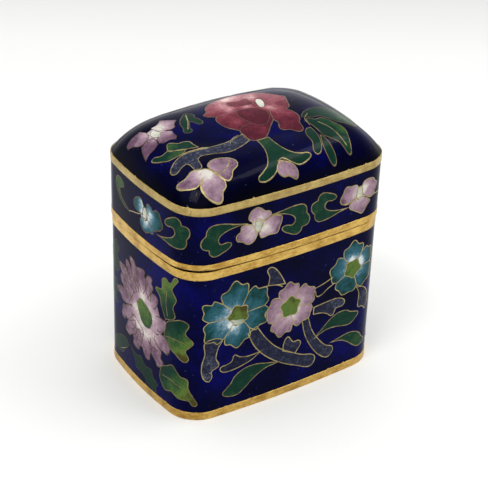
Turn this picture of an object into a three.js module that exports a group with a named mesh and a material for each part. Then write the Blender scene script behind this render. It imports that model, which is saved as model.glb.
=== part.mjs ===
// A small cloisonne enamel box with a lift-off domed lid.
// Millimetres, +Z up, origin at the centre of the underside. +X runs along the long side.
//
// Every piece follows one plan outline: a rounded rectangle whose sides bow out a little. A piece
// is a profile carried once round that outline, as a lathe carries a profile round a circle.
import * as THREE from "three";

// Plan outline of the body's wall
const boxLength = 60;
const boxDepth = 42.4;
const cornerRadius = 8.4;
const longSideBow = 0.8;
const endBow = 0.7;

// Heights of the body
const bodyHeight = 41.9;
const footBandHeight = 2.2;
const mouthBandHeight = 2.2;
const floorRecess = 0.6;
const floorThickness = 1.8;

// Heights of the lid, from the seam up
const lidWallHeight = 16.8;
const lidBandHeight = 2.1;
const shoulderBandHeight = 2.0;
const domeRise = 9.2;

// Walls and metal bands
const wallThickness = 1.8;
const domeThickness = 1.6;
const bandThickness = 0.9;
const bandChamfer = 0.2;

// How the lid sits on the body
const lidOverhang = 0.2;
const lidPlay = 0.25;
const collarThickness = 0.5;
const collarStand = 3.0;
const collarDepth = 5.0;
const collarChamfer = 0.15;

// Shape of the dome: it rises steeply behind its edge, and its crown falls off gently to the sides
const domeEdgeInset = 0.15;
const domeShoulderPower = 6.5;
const domeFallAlong = 0.19;
const domeFallAcross = 0.24;
const domeInnerDrop = 1.0;

// Fineness of the facets
const sideSteps = 8;
const cornerSteps = 8;
const domeSteps = 11;
const domeStepCrowding = 1.6;

// A side of the plan as a shallow arc from p to q that bows out by bow, with its normals
function bowedSide(p, q, outward, bow) {
  const along = q.clone().sub(p);
  const half = along.length() / 2;
  along.normalize();
  const radius = (half * half + bow * bow) / (2 * bow);
  const centre = p.clone().add(q).multiplyScalar(0.5).addScaledVector(outward, bow - radius);
  const halfAngle = Math.asin(half / radius);
  return Array.from({ length: sideSteps + 1 }, (_, i) => {
    const angle = halfAngle * ((2 * i) / sideSteps - 1);
    const normal = along.clone().multiplyScalar(Math.sin(angle)).addScaledVector(outward, Math.cos(angle));
    return { point: centre.clone().addScaledVector(normal, radius), normal };
  });
}

// The plan outline, counter-clockwise: the corner centres are joined by bowed sides, and the whole
// is grown by the corner radius. Each station holds a point on the outline and its outward normal.
function planOutline() {
  const cx = boxLength / 2 - cornerRadius - endBow;
  const cy = boxDepth / 2 - cornerRadius - longSideBow;
  const corners = [[-cx, -cy], [cx, -cy], [cx, cy], [-cx, cy]].map(([x, y]) => new THREE.Vector2(x, y));
  const outwards = [[0, -1], [1, 0], [0, 1], [-1, 0]].map(([x, y]) => new THREE.Vector2(x, y));
  const bows = [longSideBow, endBow, longSideBow, endBow];
  const sides = corners.map((corner, i) => bowedSide(corner, corners[(i + 1) % 4], outwards[i], bows[i]));
  const stations = [];
  sides.forEach((side, i) => {
    stations.push(...side);
    const from = side[sideSteps].normal.angle();
    const next = sides[(i + 1) % 4][0].normal.angle();
    const sweep = (next - from + 2 * Math.PI) % (2 * Math.PI);
    for (let k = 1; k < cornerSteps; k += 1) {
      const angle = from + (sweep * k) / cornerSteps;
      const normal = new THREE.Vector2(Math.cos(angle), Math.sin(angle));
      stations.push({ point: corners[(i + 1) % 4], normal });
    }
  });
  return stations.map(({ point, normal }) => ({
    point: point.clone().addScaledVector(normal, cornerRadius),
    normal,
  }));
}

const outline = planOutline();

// One point of a profile: how far it lies inside the body's wall, its height, and how much of the
// plan is left there, from 1 at the wall to 0 on the centre line. A height can depend on the plan.
const at = (inset, height, share = 1) => ({ inset, height, share });

// Carries a profile round the plan. The lathe gives the faces, and each of its points is then
// moved from its circle to the outline.
function carryRound(profile) {
  const stations = outline.length;
  const turned = new THREE.LatheGeometry(profile.map((_, i) => new THREE.Vector2(1, i)), stations);
  const position = turned.getAttribute("position");
  for (let turn = 0; turn <= stations; turn += 1) {
    const { point, normal } = outline[turn % stations];
    profile.forEach(({ inset, height, share }, i) => {
      const x = (point.x - normal.x * inset) * share;
      const y = (point.y - normal.y * inset) * share;
      const z = typeof height === "function" ? height(share, x, y) : height;
      position.setXYZ(turn * profile.length + i, x, y, z);
    });
  }
  turned.computeVertexNormals();
  return turned;
}

// A closed ring, from its outer to its inner inset and from its foot to its top. A chamfer takes
// the outer edge off at the foot, at the top or at neither.
function ringProfile({ outer, inner, foot, top, footChamfer = 0, topChamfer = 0 }) {
  const points = [at(inner, foot), at(outer + footChamfer, foot)];
  if (footChamfer > 0) points.push(at(outer, foot + footChamfer));
  if (topChamfer > 0) points.push(at(outer, top - topChamfer));
  points.push(at(outer + topChamfer, top), at(inner, top), at(inner, foot));
  return points;
}

// Heights that follow from the sizes above
const seamHeight = bodyHeight;
const domeSpring = seamHeight + lidWallHeight;
const shoulderFoot = domeSpring - shoulderBandHeight;

// The lid's outside stands proud of the body's wall, and its inside clears the collar
const lidOuter = -lidOverhang;
const lidInner = wallThickness - lidPlay;
const lidBandInner = lidOuter + bandThickness;

// Height of a dome over its plan
function domeHeight(spring, rise, inset) {
  const halfLength = boxLength / 2 - inset;
  const halfDepth = boxDepth / 2 - inset;
  return (share, x, y) => {
    const shoulder = 1 - share ** domeShoulderPower;
    const fall = domeFallAlong * (x / halfLength) ** 2 + domeFallAcross * (y / halfDepth) ** 2;
    return spring + rise * shoulder * (1 - fall);
  };
}

// The rings of a dome from its edge to its middle, crowded towards the edge
function domeRings(inset, spring, rise) {
  const height = domeHeight(spring, rise, inset);
  return Array.from({ length: domeSteps + 1 }, (_, i) =>
    at(inset, height, 1 - (i / domeSteps) ** domeStepCrowding),
  );
}

// The enamelled copper body: a floor raised inside the foot band, and a wall with a rebate for
// each band
function bodyShell() {
  const innerFloor = floorRecess + floorThickness;
  const mouthFoot = bodyHeight - mouthBandHeight;
  return carryRound([
    at(bandThickness, floorRecess, 0),
    at(bandThickness, floorRecess),
    at(bandThickness, footBandHeight),
    at(0, footBandHeight),
    at(0, mouthFoot),
    at(bandThickness, mouthFoot),
    at(bandThickness, bodyHeight),
    at(wallThickness, bodyHeight),
    at(wallThickness, innerFloor),
    at(wallThickness, innerFloor, 0),
  ]);
}

// The enamelled copper lid: an upright wall and a low pillow dome, hollow underneath
function lidShell() {
  const innerSpring = domeSpring - domeInnerDrop;
  const inside = domeRings(lidInner, innerSpring, domeRise + domeInnerDrop - domeThickness);
  const outside = domeRings(lidOuter + domeEdgeInset, domeSpring, domeRise);
  return carryRound([
    ...inside.reverse(),
    at(lidInner, seamHeight),
    at(lidBandInner, seamHeight),
    at(lidBandInner, seamHeight + lidBandHeight),
    at(lidOuter, seamHeight + lidBandHeight),
    at(lidOuter, shoulderFoot),
    at(lidBandInner, shoulderFoot),
    at(lidBandInner, domeSpring),
    ...outside,
  ]);
}

const footBand = () =>
  carryRound(
    ringProfile({ outer: 0, inner: bandThickness, foot: 0, top: footBandHeight, footChamfer: bandChamfer }),
  );

const mouthBand = () =>
  carryRound(
    ringProfile({
      outer: 0,
      inner: bandThickness,
      foot: bodyHeight - mouthBandHeight,
      top: bodyHeight,
      topChamfer: bandChamfer,
    }),
  );

const lidBand = () =>
  carryRound(
    ringProfile({
      outer: lidOuter,
      inner: lidBandInner,
      foot: seamHeight,
      top: seamHeight + lidBandHeight,
      footChamfer: bandChamfer,
    }),
  );

const shoulderBand = () =>
  carryRound(ringProfile({ outer: lidOuter, inner: lidBandInner, foot: shoulderFoot, top: domeSpring }));

// The strip soldered inside the body's mouth, which keeps the lid in place
const locatingCollar = () =>
  carryRound(
    ringProfile({
      outer: wallThickness,
      inner: wallThickness + collarThickness,
      foot: bodyHeight - collarDepth,
      top: seamHeight + collarStand,
      topChamfer: collarChamfer,
    }),
  );

const cobaltEnamel = new THREE.MeshStandardMaterial({ color: 0x0d0f4a, roughness: 0.12, metalness: 0 });
const giltBrass = new THREE.MeshStandardMaterial({ color: 0xc79a3e, roughness: 0.32, metalness: 1 });
const plainBrass = new THREE.MeshStandardMaterial({ color: 0xb08d4a, roughness: 0.4, metalness: 1 });

const box = new THREE.Group();
function addPiece(name, geometry, material) {
  const piece = new THREE.Mesh(geometry, material);
  piece.name = name;
  box.add(piece);
}

addPiece("body_shell", bodyShell(), cobaltEnamel);
addPiece("foot_band", footBand(), giltBrass);
addPiece("mouth_band", mouthBand(), giltBrass);
addPiece("locating_collar", locatingCollar(), plainBrass);
addPiece("lid_shell", lidShell(), cobaltEnamel);
addPiece("lid_band", lidBand(), giltBrass);
addPiece("shoulder_band", shoulderBand(), giltBrass);

export default box;
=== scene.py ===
# %% [markdown]
# # A small cloisonne enamel box
#
# Cloisonne is coloured glass held in wire. A copper box is raised, thin gilt wires are bent to the
# drawing and fixed on it, each cell between them is packed with glass powder, and the box is fired and
# ground until wire and glass lie in one polished skin. This lesson builds the layers in that order: the
# plan of the box, the enamelled shells, the metal bands, and then the drawing in wire and glass.
#
# ## The frame
#
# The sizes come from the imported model, which is loaded first and never moved. Every length below is in
# millimetres, as a maker would mark it, and becomes metres only when it goes into a mesh.

# %% Load the frame
import math
from bisect import bisect_left

import bmesh
import bpy
from mathutils import Matrix, Vector, noise
from mathutils.geometry import interpolate_bezier


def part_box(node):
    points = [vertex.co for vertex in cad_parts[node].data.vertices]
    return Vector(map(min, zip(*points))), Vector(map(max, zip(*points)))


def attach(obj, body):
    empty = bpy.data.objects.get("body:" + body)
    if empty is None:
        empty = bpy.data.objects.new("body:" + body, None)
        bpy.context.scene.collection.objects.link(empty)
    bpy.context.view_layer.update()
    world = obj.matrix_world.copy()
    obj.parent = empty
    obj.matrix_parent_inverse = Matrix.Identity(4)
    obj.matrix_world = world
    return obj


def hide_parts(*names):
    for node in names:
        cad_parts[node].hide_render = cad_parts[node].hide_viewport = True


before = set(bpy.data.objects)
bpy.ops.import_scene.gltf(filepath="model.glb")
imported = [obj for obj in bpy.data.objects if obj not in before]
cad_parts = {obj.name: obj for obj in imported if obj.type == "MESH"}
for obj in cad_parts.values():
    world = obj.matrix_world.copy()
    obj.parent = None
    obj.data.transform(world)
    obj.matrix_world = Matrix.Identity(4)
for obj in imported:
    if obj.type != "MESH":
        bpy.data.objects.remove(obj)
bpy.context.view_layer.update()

MM = 0.001


def low_of(node):
    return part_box(node)[0] / MM


def high_of(node):
    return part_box(node)[1] / MM


half_length, half_depth, _ = high_of("body_shell")
floor_foot = low_of("body_shell").z
foot_top = high_of("foot_band").z
mouth_foot = low_of("mouth_band").z
seam = low_of("lid_band").z
lid_band_top = high_of("lid_band").z
shoulder_foot = low_of("shoulder_band").z
spring = high_of("shoulder_band").z
apex = high_of("lid_shell").z
lid_overhang = high_of("lid_band").x - half_length
print("levels of the bands:", [round(z, 2) for z in (foot_top, mouth_foot, seam, lid_band_top)])
print("dome from", round(spring, 2), "to", round(apex, 2), "mm")

# %% [markdown]
# ## The plan
#
# Seen from above the box is a rounded rectangle whose sides bow out a little, because sheet copper that
# is raised by hand never stays dead flat. The corner centres are joined by shallow arcs, and the whole
# is grown by the corner radius. A place on the wall is given by its run, the distance walked round the
# box from the middle of the front, so that a flat drawing can be laid on the wall like paper.

# %% Walk round the plan
CORNER_RADIUS = 8.4
LONG_SIDE_BOW = 0.8
END_BOW = 0.7

corner_x = half_length - CORNER_RADIUS - END_BOW
corner_y = half_depth - CORNER_RADIUS - LONG_SIDE_BOW


def bowed_side(half_chord, bow):
    """Radius and half angle of the shallow arc over a chord."""
    radius = (half_chord**2 + bow**2) / (2 * bow)
    return radius, math.asin(half_chord / radius)


side_radius, side_angle = bowed_side(corner_x, LONG_SIDE_BOW)
end_radius, end_angle = bowed_side(corner_y, END_BOW)
side_run = (side_radius + CORNER_RADIUS) * side_angle
corner_run = CORNER_RADIUS * (math.pi / 2 - side_angle - end_angle)
end_run = (end_radius + CORNER_RADIUS) * end_angle
quarter = side_run + corner_run + end_run
girth = 4 * quarter


def plan_at(run, inset):
    """Point and outward normal of the plan, a run away from the middle of the front."""
    run = (run + girth / 2) % girth - girth / 2
    across = math.copysign(1, run)
    run = abs(run)
    back = -1 if run > quarter else 1
    if back < 0:
        run = 2 * quarter - run
    if run < side_run:
        x, y, radius = 0, side_radius - corner_y - LONG_SIDE_BOW, side_radius + CORNER_RADIUS
        angle = run / radius - math.pi / 2
    elif run < side_run + corner_run:
        x, y, radius = corner_x, -corner_y, CORNER_RADIUS
        angle = side_angle + (run - side_run) / radius - math.pi / 2
    else:
        x, y, radius = corner_x + END_BOW - end_radius, 0, end_radius + CORNER_RADIUS
        angle = (run - quarter) / radius
    nx, ny = math.cos(angle), math.sin(angle)
    x, y = x + (radius - inset) * nx, y + (radius - inset) * ny
    return Vector((across * x, back * y, 0)), Vector((across * nx, back * ny, 0))


print("girth", round(girth, 1), "mm, of which each long side takes", round(2 * side_run, 1))

# %% [markdown]
# ## Three surfaces to draw on
#
# The body's wall, the lid's skirt and the dome each get a function that takes a flat place and a height
# above the enamel, and gives the point in space and the direction in which the surface faces there.
# The enamel lies a hair below the bands, so that the metal keeps its own edge as on the real box.

# %% Lay a flat place on the box
ENAMEL_RECESS = 0.08
DOME_EDGE_INSET = 0.15
DOME_POWER = 6.5
DOME_FALL_ALONG = 0.19
DOME_FALL_ACROSS = 0.24
NUDGE = 0.02
REACH_STEPS = 400

dome_growth = lid_overhang - DOME_EDGE_INSET


def on_body(run, height, proud, growth=0.0):
    point, normal = plan_at(run, ENAMEL_RECESS - growth - proud)
    return Vector((point.x, point.y, height)), normal


def on_skirt(run, height, proud):
    return on_body(run, height, proud, lid_overhang)


def pillow(share, x, y, growth, foot, rise):
    """Height of a dome: steep behind its edge, with a crown that falls off gently to the sides."""
    fall = DOME_FALL_ALONG * (x / (half_length + growth)) ** 2
    fall += DOME_FALL_ACROSS * (y / (half_depth + growth)) ** 2
    return foot + rise * (1 - share**DOME_POWER) * (1 - fall)


reaches = []
for step in range(REACH_STEPS + 1):
    edge, _ = plan_at(quarter * step / REACH_STEPS, -dome_growth)
    reaches.append((math.atan2(-edge.y, edge.x), edge.length))
reaches.sort()
reach_angles = [angle for angle, _ in reaches]


def share_at(x, y):
    """How far (x, y) lies on the way from the middle of the dome to its edge, from 0 to 1."""
    angle = math.atan2(abs(y), abs(x))
    after = min(max(bisect_left(reach_angles, angle), 1), len(reaches) - 1)
    (angle_0, reach_0), (angle_1, reach_1) = reaches[after - 1], reaches[after]
    part = (angle - angle_0) / (angle_1 - angle_0)
    return math.hypot(x, y) / (reach_0 + part * (reach_1 - reach_0))


def dome_height(x, y):
    return pillow(share_at(x, y), x, y, dome_growth, spring, apex - spring)


def on_dome(x, y, proud=0.0):
    height = dome_height(x, y)
    slope_x = (dome_height(x + NUDGE, y) - height) / NUDGE
    slope_y = (dome_height(x, y + NUDGE) - height) / NUDGE
    normal = Vector((-slope_x, -slope_y, 1)).normalized()
    return Vector((x, y, height)) + normal * (proud - ENAMEL_RECESS), normal


print("dome height at the middle", round(dome_height(0.0, 0.0), 2), "mm")

# %% [markdown]
# ## Carrying a profile round the box
#
# A raised shell and a soldered band both have one section all the way round. A lathe would do it on a
# round box, so a lathe does it here too: spin turns a line of points, one for each ring, into a closed
# skin, and every ring is then pushed out from its circle to its place on the plan. The corners get more
# stations than the sides, because that is where the skin bends.

# %% The lathe
SIDE_STEPS, CORNER_STEPS, END_STEPS = 18, 20, 12
MERGE_DISTANCE = 1e-4


def shell_stations():
    """Runs all the way round, close together on the corners."""
    runs = []
    start = -side_run
    lengths = (2 * side_run, corner_run, 2 * end_run, corner_run)
    counts = (SIDE_STEPS, CORNER_STEPS, END_STEPS, CORNER_STEPS)
    for length, count in zip(lengths * 2, counts * 2):
        runs += [start + length * step / count for step in range(count)]
        start += length
    return runs


def even_stations(spacing):
    count = round(girth / spacing)
    return [girth * step / count for step in range(count)]


def carried_round(rings, stations, ring_shut=False):
    """Spins one point for each ring and moves the rings to the plan. A ring maps a run to a point."""
    bm = bmesh.new()
    line = [bm.verts.new((1, 0, level)) for level in range(len(rings))]
    edges = [bm.edges.new(pair) for pair in zip(line, line[1:])]
    if ring_shut:
        edges.append(bm.edges.new((line[-1], line[0])))
    bmesh.ops.spin(
        bm, geom=line + edges, cent=(0, 0, 0), axis=(0, 0, 1),
        angle=2 * math.pi, steps=len(stations), use_merge=True,
    )
    level_of = bm.verts.layers.int.new("level")
    for vert in bm.verts:
        level = round(vert.co.z)
        turn = math.atan2(vert.co.y, vert.co.x) / (2 * math.pi)
        vert[level_of] = level
        vert.co = rings[level](stations[round(turn * len(stations)) % len(stations)])
    bmesh.ops.remove_doubles(bm, verts=bm.verts[:], dist=MERGE_DISTANCE)
    bmesh.ops.recalc_face_normals(bm, faces=bm.faces[:])
    return bm


def wall_ring(inset, height):
    def ring(run):
        point, _ = plan_at(run, inset)
        return Vector((point.x, point.y, height))
    return ring


def pole(height):
    return lambda run: Vector((0, 0, height))


print(len(shell_stations()), "stations round a shell")

# %% [markdown]
# ## Finishes: enamel
#
# Enamel is glass over copper. What the eye reads is a deep colour under a hard clear gloss, clouded by
# the grain of the powder, with a few pits where bubbles burst when it was ground. So the colour comes
# from noise in object space, the gloss from the shader alone, and pits and the faint unevenness of
# hand polishing from a bump. The colour of a petal also needs to know where it is in the petal. Each
# piece of coloured glass therefore carries a brush attribute: how far from root to tip, how far along
# the stroke, and how far across it.

# %% Helpers for node trees
def new_material(name):
    material = bpy.data.materials.new(name)
    material.use_nodes = True
    tree = material.node_tree
    shader = tree.nodes["Principled BSDF"]
    return material, tree, shader


def node(tree, kind, **inputs):
    """Adds a node and sets its inputs by name, with spaces written as underscores."""
    made = tree.nodes.new(kind)
    for key, value in inputs.items():
        made.inputs[key.replace("_", " ")].default_value = value
    return made


def object_noise(tree, scale, detail, stretch=(1, 1, 1)):
    """Noise on object coordinates. The scale is in features for each metre."""
    place = tree.nodes.new("ShaderNodeTexCoord")
    mapping = node(tree, "ShaderNodeMapping", Scale=stretch)
    grain = node(tree, "ShaderNodeTexNoise", Scale=scale, Detail=detail)
    tree.links.new(place.outputs["Object"], mapping.inputs["Vector"])
    tree.links.new(mapping.outputs["Vector"], grain.inputs["Vector"])
    return grain.outputs["Fac"]


def maths(tree, operation, first, second, clamp=False):
    """A maths node. Each value is a number or the output of another node."""
    made = tree.nodes.new("ShaderNodeMath")
    made.operation = operation
    made.use_clamp = clamp
    for socket, value in zip(made.inputs, (first, second)):
        if isinstance(value, (int, float)):
            socket.default_value = value
        else:
            tree.links.new(value, socket)
    return made.outputs["Value"]


def ramp(tree, factor, stops):
    """Colours along a factor: each stop is (place, (red, green, blue))."""
    made = tree.nodes.new("ShaderNodeValToRGB")
    elements = made.color_ramp.elements
    while len(elements) < len(stops):
        elements.new(0.5)
    for element, (place, colour) in zip(elements, stops):
        element.position = place
        element.color = (*colour, 1)
    tree.links.new(factor, made.inputs["Fac"])
    return made.outputs["Color"]


def swing(tree, value, strength):
    """Centres a noise on zero, so that it can push a tone both ways."""
    return maths(tree, "MULTIPLY", maths(tree, "SUBTRACT", value, 0.5), strength)


def bump(tree, shader, height, depth):
    made = node(tree, "ShaderNodeBump", Strength=1.0, Distance=depth * MM)
    tree.links.new(height, made.inputs["Height"])
    tree.links.new(made.outputs["Normal"], shader.inputs["Normal"])


def gloss(shader, roughness, ior):
    shader.inputs["Roughness"].default_value = roughness
    shader.inputs["IOR"].default_value = ior


# %% The cobalt ground
GROUND_IOR, GROUND_ROUGHNESS, GROUND_RELIEF = 1.09, 0.08, 0.05
GLASS_IOR, GLASS_ROUGHNESS, GLASS_RELIEF = 1.11, 0.12, 0.02
GROUND_STOPS = [
    (0.36, (0.0005, 0.0006, 0.01)), (0.52, (0.0006, 0.0009, 0.022)), (0.7, (0.001, 0.0015, 0.062)),
]
SPECK = (0.03, 0.035, 0.1)
# How dark the painted shade behind the dome's edge gets, as a share of the colour
EDGE_SHADE_DARKEST = 0.12
EDGE_START, EDGE_HEIGHT = 0.3, 4.5
CLOUD_SCALE, POWDER_SCALE, POWDER_STRENGTH = 70, 1300, 0.3
SPECK_SCALE, SPECK_START, SPECK_STRETCH = 1700, 0.845, (1, 1, 1.3)
WAVE_SCALE, PIT_SCALE, PIT_START, PIT_DEPTH = 170, 2300, 0.83, 0.5


def shaded_by(tree, colour, share):
    """Darkens a colour by a share, where 1 leaves it as it is."""
    made = tree.nodes.new("ShaderNodeVectorMath")
    made.operation = "SCALE"
    tree.links.new(colour, made.inputs["Vector"])
    tree.links.new(share, made.inputs["Scale"])
    return made.outputs["Vector"]


def mixed(tree, factor, colour, other):
    """One colour laid over another where the factor is 1."""
    made = tree.nodes.new("ShaderNodeMix")
    made.data_type = "RGBA"
    tree.links.new(factor, made.inputs["Factor"])
    tree.links.new(colour, made.inputs["A"])
    made.inputs["B"].default_value = (*other, 1)
    return made.outputs["Result"]


def painted_edge_shade(tree):
    """Painted shade: darker just behind the dome's edge, above the shoulder band, and even elsewhere."""
    place = tree.nodes.new("ShaderNodeTexCoord")
    parts = tree.nodes.new("ShaderNodeSeparateXYZ")
    tree.links.new(place.outputs["Object"], parts.inputs["Vector"])
    above = maths(tree, "SUBTRACT", parts.outputs["Z"], (spring + EDGE_START) * MM)
    height = maths(tree, "MULTIPLY", above, 1 / (EDGE_HEIGHT * MM), clamp=True)
    on_wall = maths(tree, "LESS_THAN", parts.outputs["Z"], shoulder_foot * MM)
    lit = maths(tree, "ADD", maths(tree, "MULTIPLY", height, 1 - EDGE_SHADE_DARKEST), EDGE_SHADE_DARKEST)
    return maths(tree, "ADD", lit, on_wall, clamp=True)


def pitted_height(tree):
    """Height of polished glass: long soft waves, with a small pit here and there."""
    waves = object_noise(tree, WAVE_SCALE, 2)
    pits = maths(tree, "GREATER_THAN", object_noise(tree, PIT_SCALE, 0), PIT_START)
    return maths(tree, "SUBTRACT", waves, maths(tree, "MULTIPLY", pits, PIT_DEPTH))


def ground_enamel():
    material, tree, shader = new_material("cobalt ground enamel")
    powder = swing(tree, object_noise(tree, POWDER_SCALE, 3), POWDER_STRENGTH)
    cloudy = maths(tree, "ADD", object_noise(tree, CLOUD_SCALE, 5), powder)
    # The ground is darkened just behind the dome's edge: a painted shade.
    colour = shaded_by(tree, ramp(tree, cloudy, GROUND_STOPS), painted_edge_shade(tree))
    specks = object_noise(tree, SPECK_SCALE, 0, SPECK_STRETCH)
    specks = maths(tree, "GREATER_THAN", specks, SPECK_START)
    tree.links.new(mixed(tree, specks, colour, SPECK), shader.inputs["Base Color"])
    gloss(shader, GROUND_ROUGHNESS, GROUND_IOR)
    bump(tree, shader, pitted_height(tree), GROUND_RELIEF)
    return material


ground = ground_enamel()
print("finish:", ground.name)

# %% [markdown]
# A petal is shaded by packing paler powder at its root and letting the colours run into each other. Each
# glass here is therefore a short row of colours from root to tip, and the brush attribute says where on
# that row a place lies. Streaks along the stroke, clouds and grain shift the place a little to and fro.

# %% The coloured glass
GLASS_STOPS = {
    "pink_enamel": [
        (0.0, (0.52, 0.5, 0.45)), (0.16, (0.42, 0.34, 0.345)), (0.42, (0.3, 0.2, 0.25)),
        (0.72, (0.205, 0.13, 0.17)), (1.0, (0.1, 0.05, 0.085)),
    ],
    "teal_enamel": [
        (0.0, (0.5, 0.55, 0.55)), (0.17, (0.15, 0.24, 0.285)), (0.42, (0.03, 0.1, 0.137)),
        (0.75, (0.011, 0.06, 0.072)), (1.0, (0.004, 0.028, 0.026)),
    ],
    "red_enamel": [
        (0.0, (0.62, 0.5, 0.46)), (0.2, (0.42, 0.2, 0.21)), (0.42, (0.26, 0.078, 0.1)),
        (0.72, (0.14, 0.021, 0.036)), (1.0, (0.06, 0.008, 0.017)),
    ],
    "green_enamel": [
        (0.0, (0.003, 0.018, 0.012)), (0.32, (0.005, 0.029, 0.018)), (0.55, (0.027, 0.066, 0.02)),
        (0.8, (0.08, 0.132, 0.026)), (1.0, (0.045, 0.042, 0.01)),
    ],
    "slate_enamel": [
        (0.0, (0.004, 0.005, 0.018)), (0.4, (0.012, 0.014, 0.03)), (0.7, (0.031, 0.035, 0.06)),
        (1.0, (0.12, 0.13, 0.15)),
    ],
    "white_enamel": [(0.0, (0.62, 0.62, 0.55)), (0.6, (0.36, 0.37, 0.3)), (1.0, (0.2, 0.26, 0.18))],
}
# How strongly the streaks, the clouds and the grain show in each glass
GLASS_TEXTURE = {
    "pink_enamel": (0.4, 1.0, 0.5),
    "teal_enamel": (0.4, 1.1, 0.4),
    "red_enamel": (0.3, 0.6, 0.35),
    "green_enamel": (0.3, 0.65, 0.35),
    "slate_enamel": (0.3, 0.8, 1.5),
    "white_enamel": (0.5, 0.5, 0.6),
}
GLASS_CLOUD_SCALE, GLASS_GRAIN_SCALE = 420, 1900
STREAKS_PER_MM = 2.4
STREAK_LENGTH_SHARE = 0.25


def streaked_shade(tree, strength):
    """The brush's shade, with noise that is drawn out along the stroke."""
    brush = tree.nodes.new("ShaderNodeAttribute")
    brush.attribute_name = "brush"
    parts = tree.nodes.new("ShaderNodeSeparateXYZ")
    tree.links.new(brush.outputs["Vector"], parts.inputs["Vector"])
    flat = tree.nodes.new("ShaderNodeCombineXYZ")
    along = maths(tree, "MULTIPLY", parts.outputs["Y"], STREAK_LENGTH_SHARE)
    tree.links.new(along, flat.inputs["X"])
    tree.links.new(parts.outputs["Z"], flat.inputs["Y"])
    grain = node(tree, "ShaderNodeTexNoise", Scale=STREAKS_PER_MM, Detail=3.0)
    tree.links.new(flat.outputs["Vector"], grain.inputs["Vector"])
    return maths(tree, "ADD", parts.outputs["X"], swing(tree, grain.outputs["Fac"], strength))


def coloured_glass(slot, streak, cloud, grain):
    material, tree, shader = new_material(slot.replace("_", " "))
    shade = streaked_shade(tree, streak)
    for scale, strength in ((GLASS_CLOUD_SCALE, cloud), (GLASS_GRAIN_SCALE, grain)):
        shade = maths(tree, "ADD", shade, swing(tree, object_noise(tree, scale, 3), strength))
    shade = maths(tree, "ADD", shade, 0.0, clamp=True)
    tree.links.new(ramp(tree, shade, GLASS_STOPS[slot]), shader.inputs["Base Color"])
    gloss(shader, GLASS_ROUGHNESS, GLASS_IOR)
    bump(tree, shader, pitted_height(tree), GLASS_RELIEF)
    return material


glasses = {slot: coloured_glass(slot, *texture) for slot, texture in GLASS_TEXTURE.items()}
print("coloured glasses:", len(glasses))

# %% [markdown]
# ## Finishes: gilt metal
#
# The bands are brass with a thin gilding that has been rubbed: fine scratches run along them, and the
# tone drifts between pale and amber. Metal has no colour of its own apart from its reflections, so the
# drift goes into both the colour and the roughness, and the scratches are noise squashed in height.

# %% The metals
# Brown of tarnish on the bands, also used for the painted shade on the sides of wires
TARNISH_AND_SHADE_BROWN = (0.07, 0.045, 0.025)
DRIFT_SCALE, SCRATCH_SCALE, MARK_SCALE, SPOT_SCALE = 240, 500, 1500, 900
SCRATCH_STRETCH = (1, 1, 12)
SPOT_START, SPOT_EDGE = 0.9, 8
SCRATCH_TONE, MARK_TONE, MARK_ROUGHNESS = 0.8, 0.5, 0.3
AMBER_AT, PALE_AT = 0.3, 0.66
FULLY_GILT, BARE_SLOPE = 0.85, 2.2


def gilt_metal(name, pale, amber, roughness, relief_depth, tarnished=0.0):
    material, tree, shader = new_material(name)
    shader.inputs["Metallic"].default_value = 1.0
    drift = object_noise(tree, DRIFT_SCALE, 5)
    scratches = object_noise(tree, SCRATCH_SCALE, 4, SCRATCH_STRETCH)
    marks = object_noise(tree, MARK_SCALE, 3)
    tone = maths(tree, "ADD", drift, swing(tree, scratches, SCRATCH_TONE))
    tone = maths(tree, "ADD", tone, swing(tree, marks, MARK_TONE))
    colour = ramp(tree, tone, [(AMBER_AT, amber), (PALE_AT, pale)])
    if tarnished:
        spots = maths(tree, "ADD", object_noise(tree, SPOT_SCALE, 3), maths(tree, "MULTIPLY", drift, 0.3))
        beyond = maths(tree, "SUBTRACT", spots, SPOT_START - tarnished)
        colour = mixed(tree, maths(tree, "MULTIPLY", beyond, SPOT_EDGE, clamp=True), colour, TARNISH_AND_SHADE_BROWN)
    tree.links.new(colour, shader.inputs["Base Color"])
    rough = maths(tree, "MULTIPLY", marks, MARK_ROUGHNESS)
    rough = maths(tree, "ADD", rough, roughness - MARK_ROUGHNESS / 2)
    tree.links.new(rough, shader.inputs["Roughness"])
    relief = maths(tree, "ADD", maths(tree, "MULTIPLY", scratches, 0.6), marks)
    bump(tree, shader, relief, relief_depth)
    return material


band_metal = gilt_metal("rubbed gilt brass", (0.63, 0.42, 0.115), (0.34, 0.19, 0.036), 0.34, 0.05, 0.05)
pale_metal = gilt_metal("worn gilt brass", (0.46, 0.345, 0.13), (0.27, 0.185, 0.06), 0.4, 0.05, 0.05)
wire_metal = gilt_metal("gilt wire", (0.41, 0.34, 0.165), (0.22, 0.172, 0.07), 0.4, 0.01)
plain_metal = gilt_metal("plain brass strip", (0.75, 0.57, 0.3), (0.5, 0.35, 0.15), 0.45, 0.01)


def tarnish_and_painted_shade(material):
    """Browns the metal where the wire's attribute is low: partly tarnish, partly a painted shade down the
    sides of a wire.
    """
    tree = material.node_tree
    shader = tree.nodes["Principled BSDF"]
    gilt_and_painted_light = tree.nodes.new("ShaderNodeAttribute")
    gilt_and_painted_light.attribute_name = "gilt_and_painted_light"
    gilt = shader.inputs["Base Color"].links[0].from_socket
    # How far the wire is browned, by tarnish and by painted shade
    missing = maths(tree, "SUBTRACT", FULLY_GILT, gilt_and_painted_light.outputs["Fac"])
    tarnish_and_shade = maths(tree, "MULTIPLY", missing, BARE_SLOPE, clamp=True)
    tree.links.new(mixed(tree, tarnish_and_shade, gilt, TARNISH_AND_SHADE_BROWN), shader.inputs["Base Color"])


tarnish_and_painted_shade(wire_metal)


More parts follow.
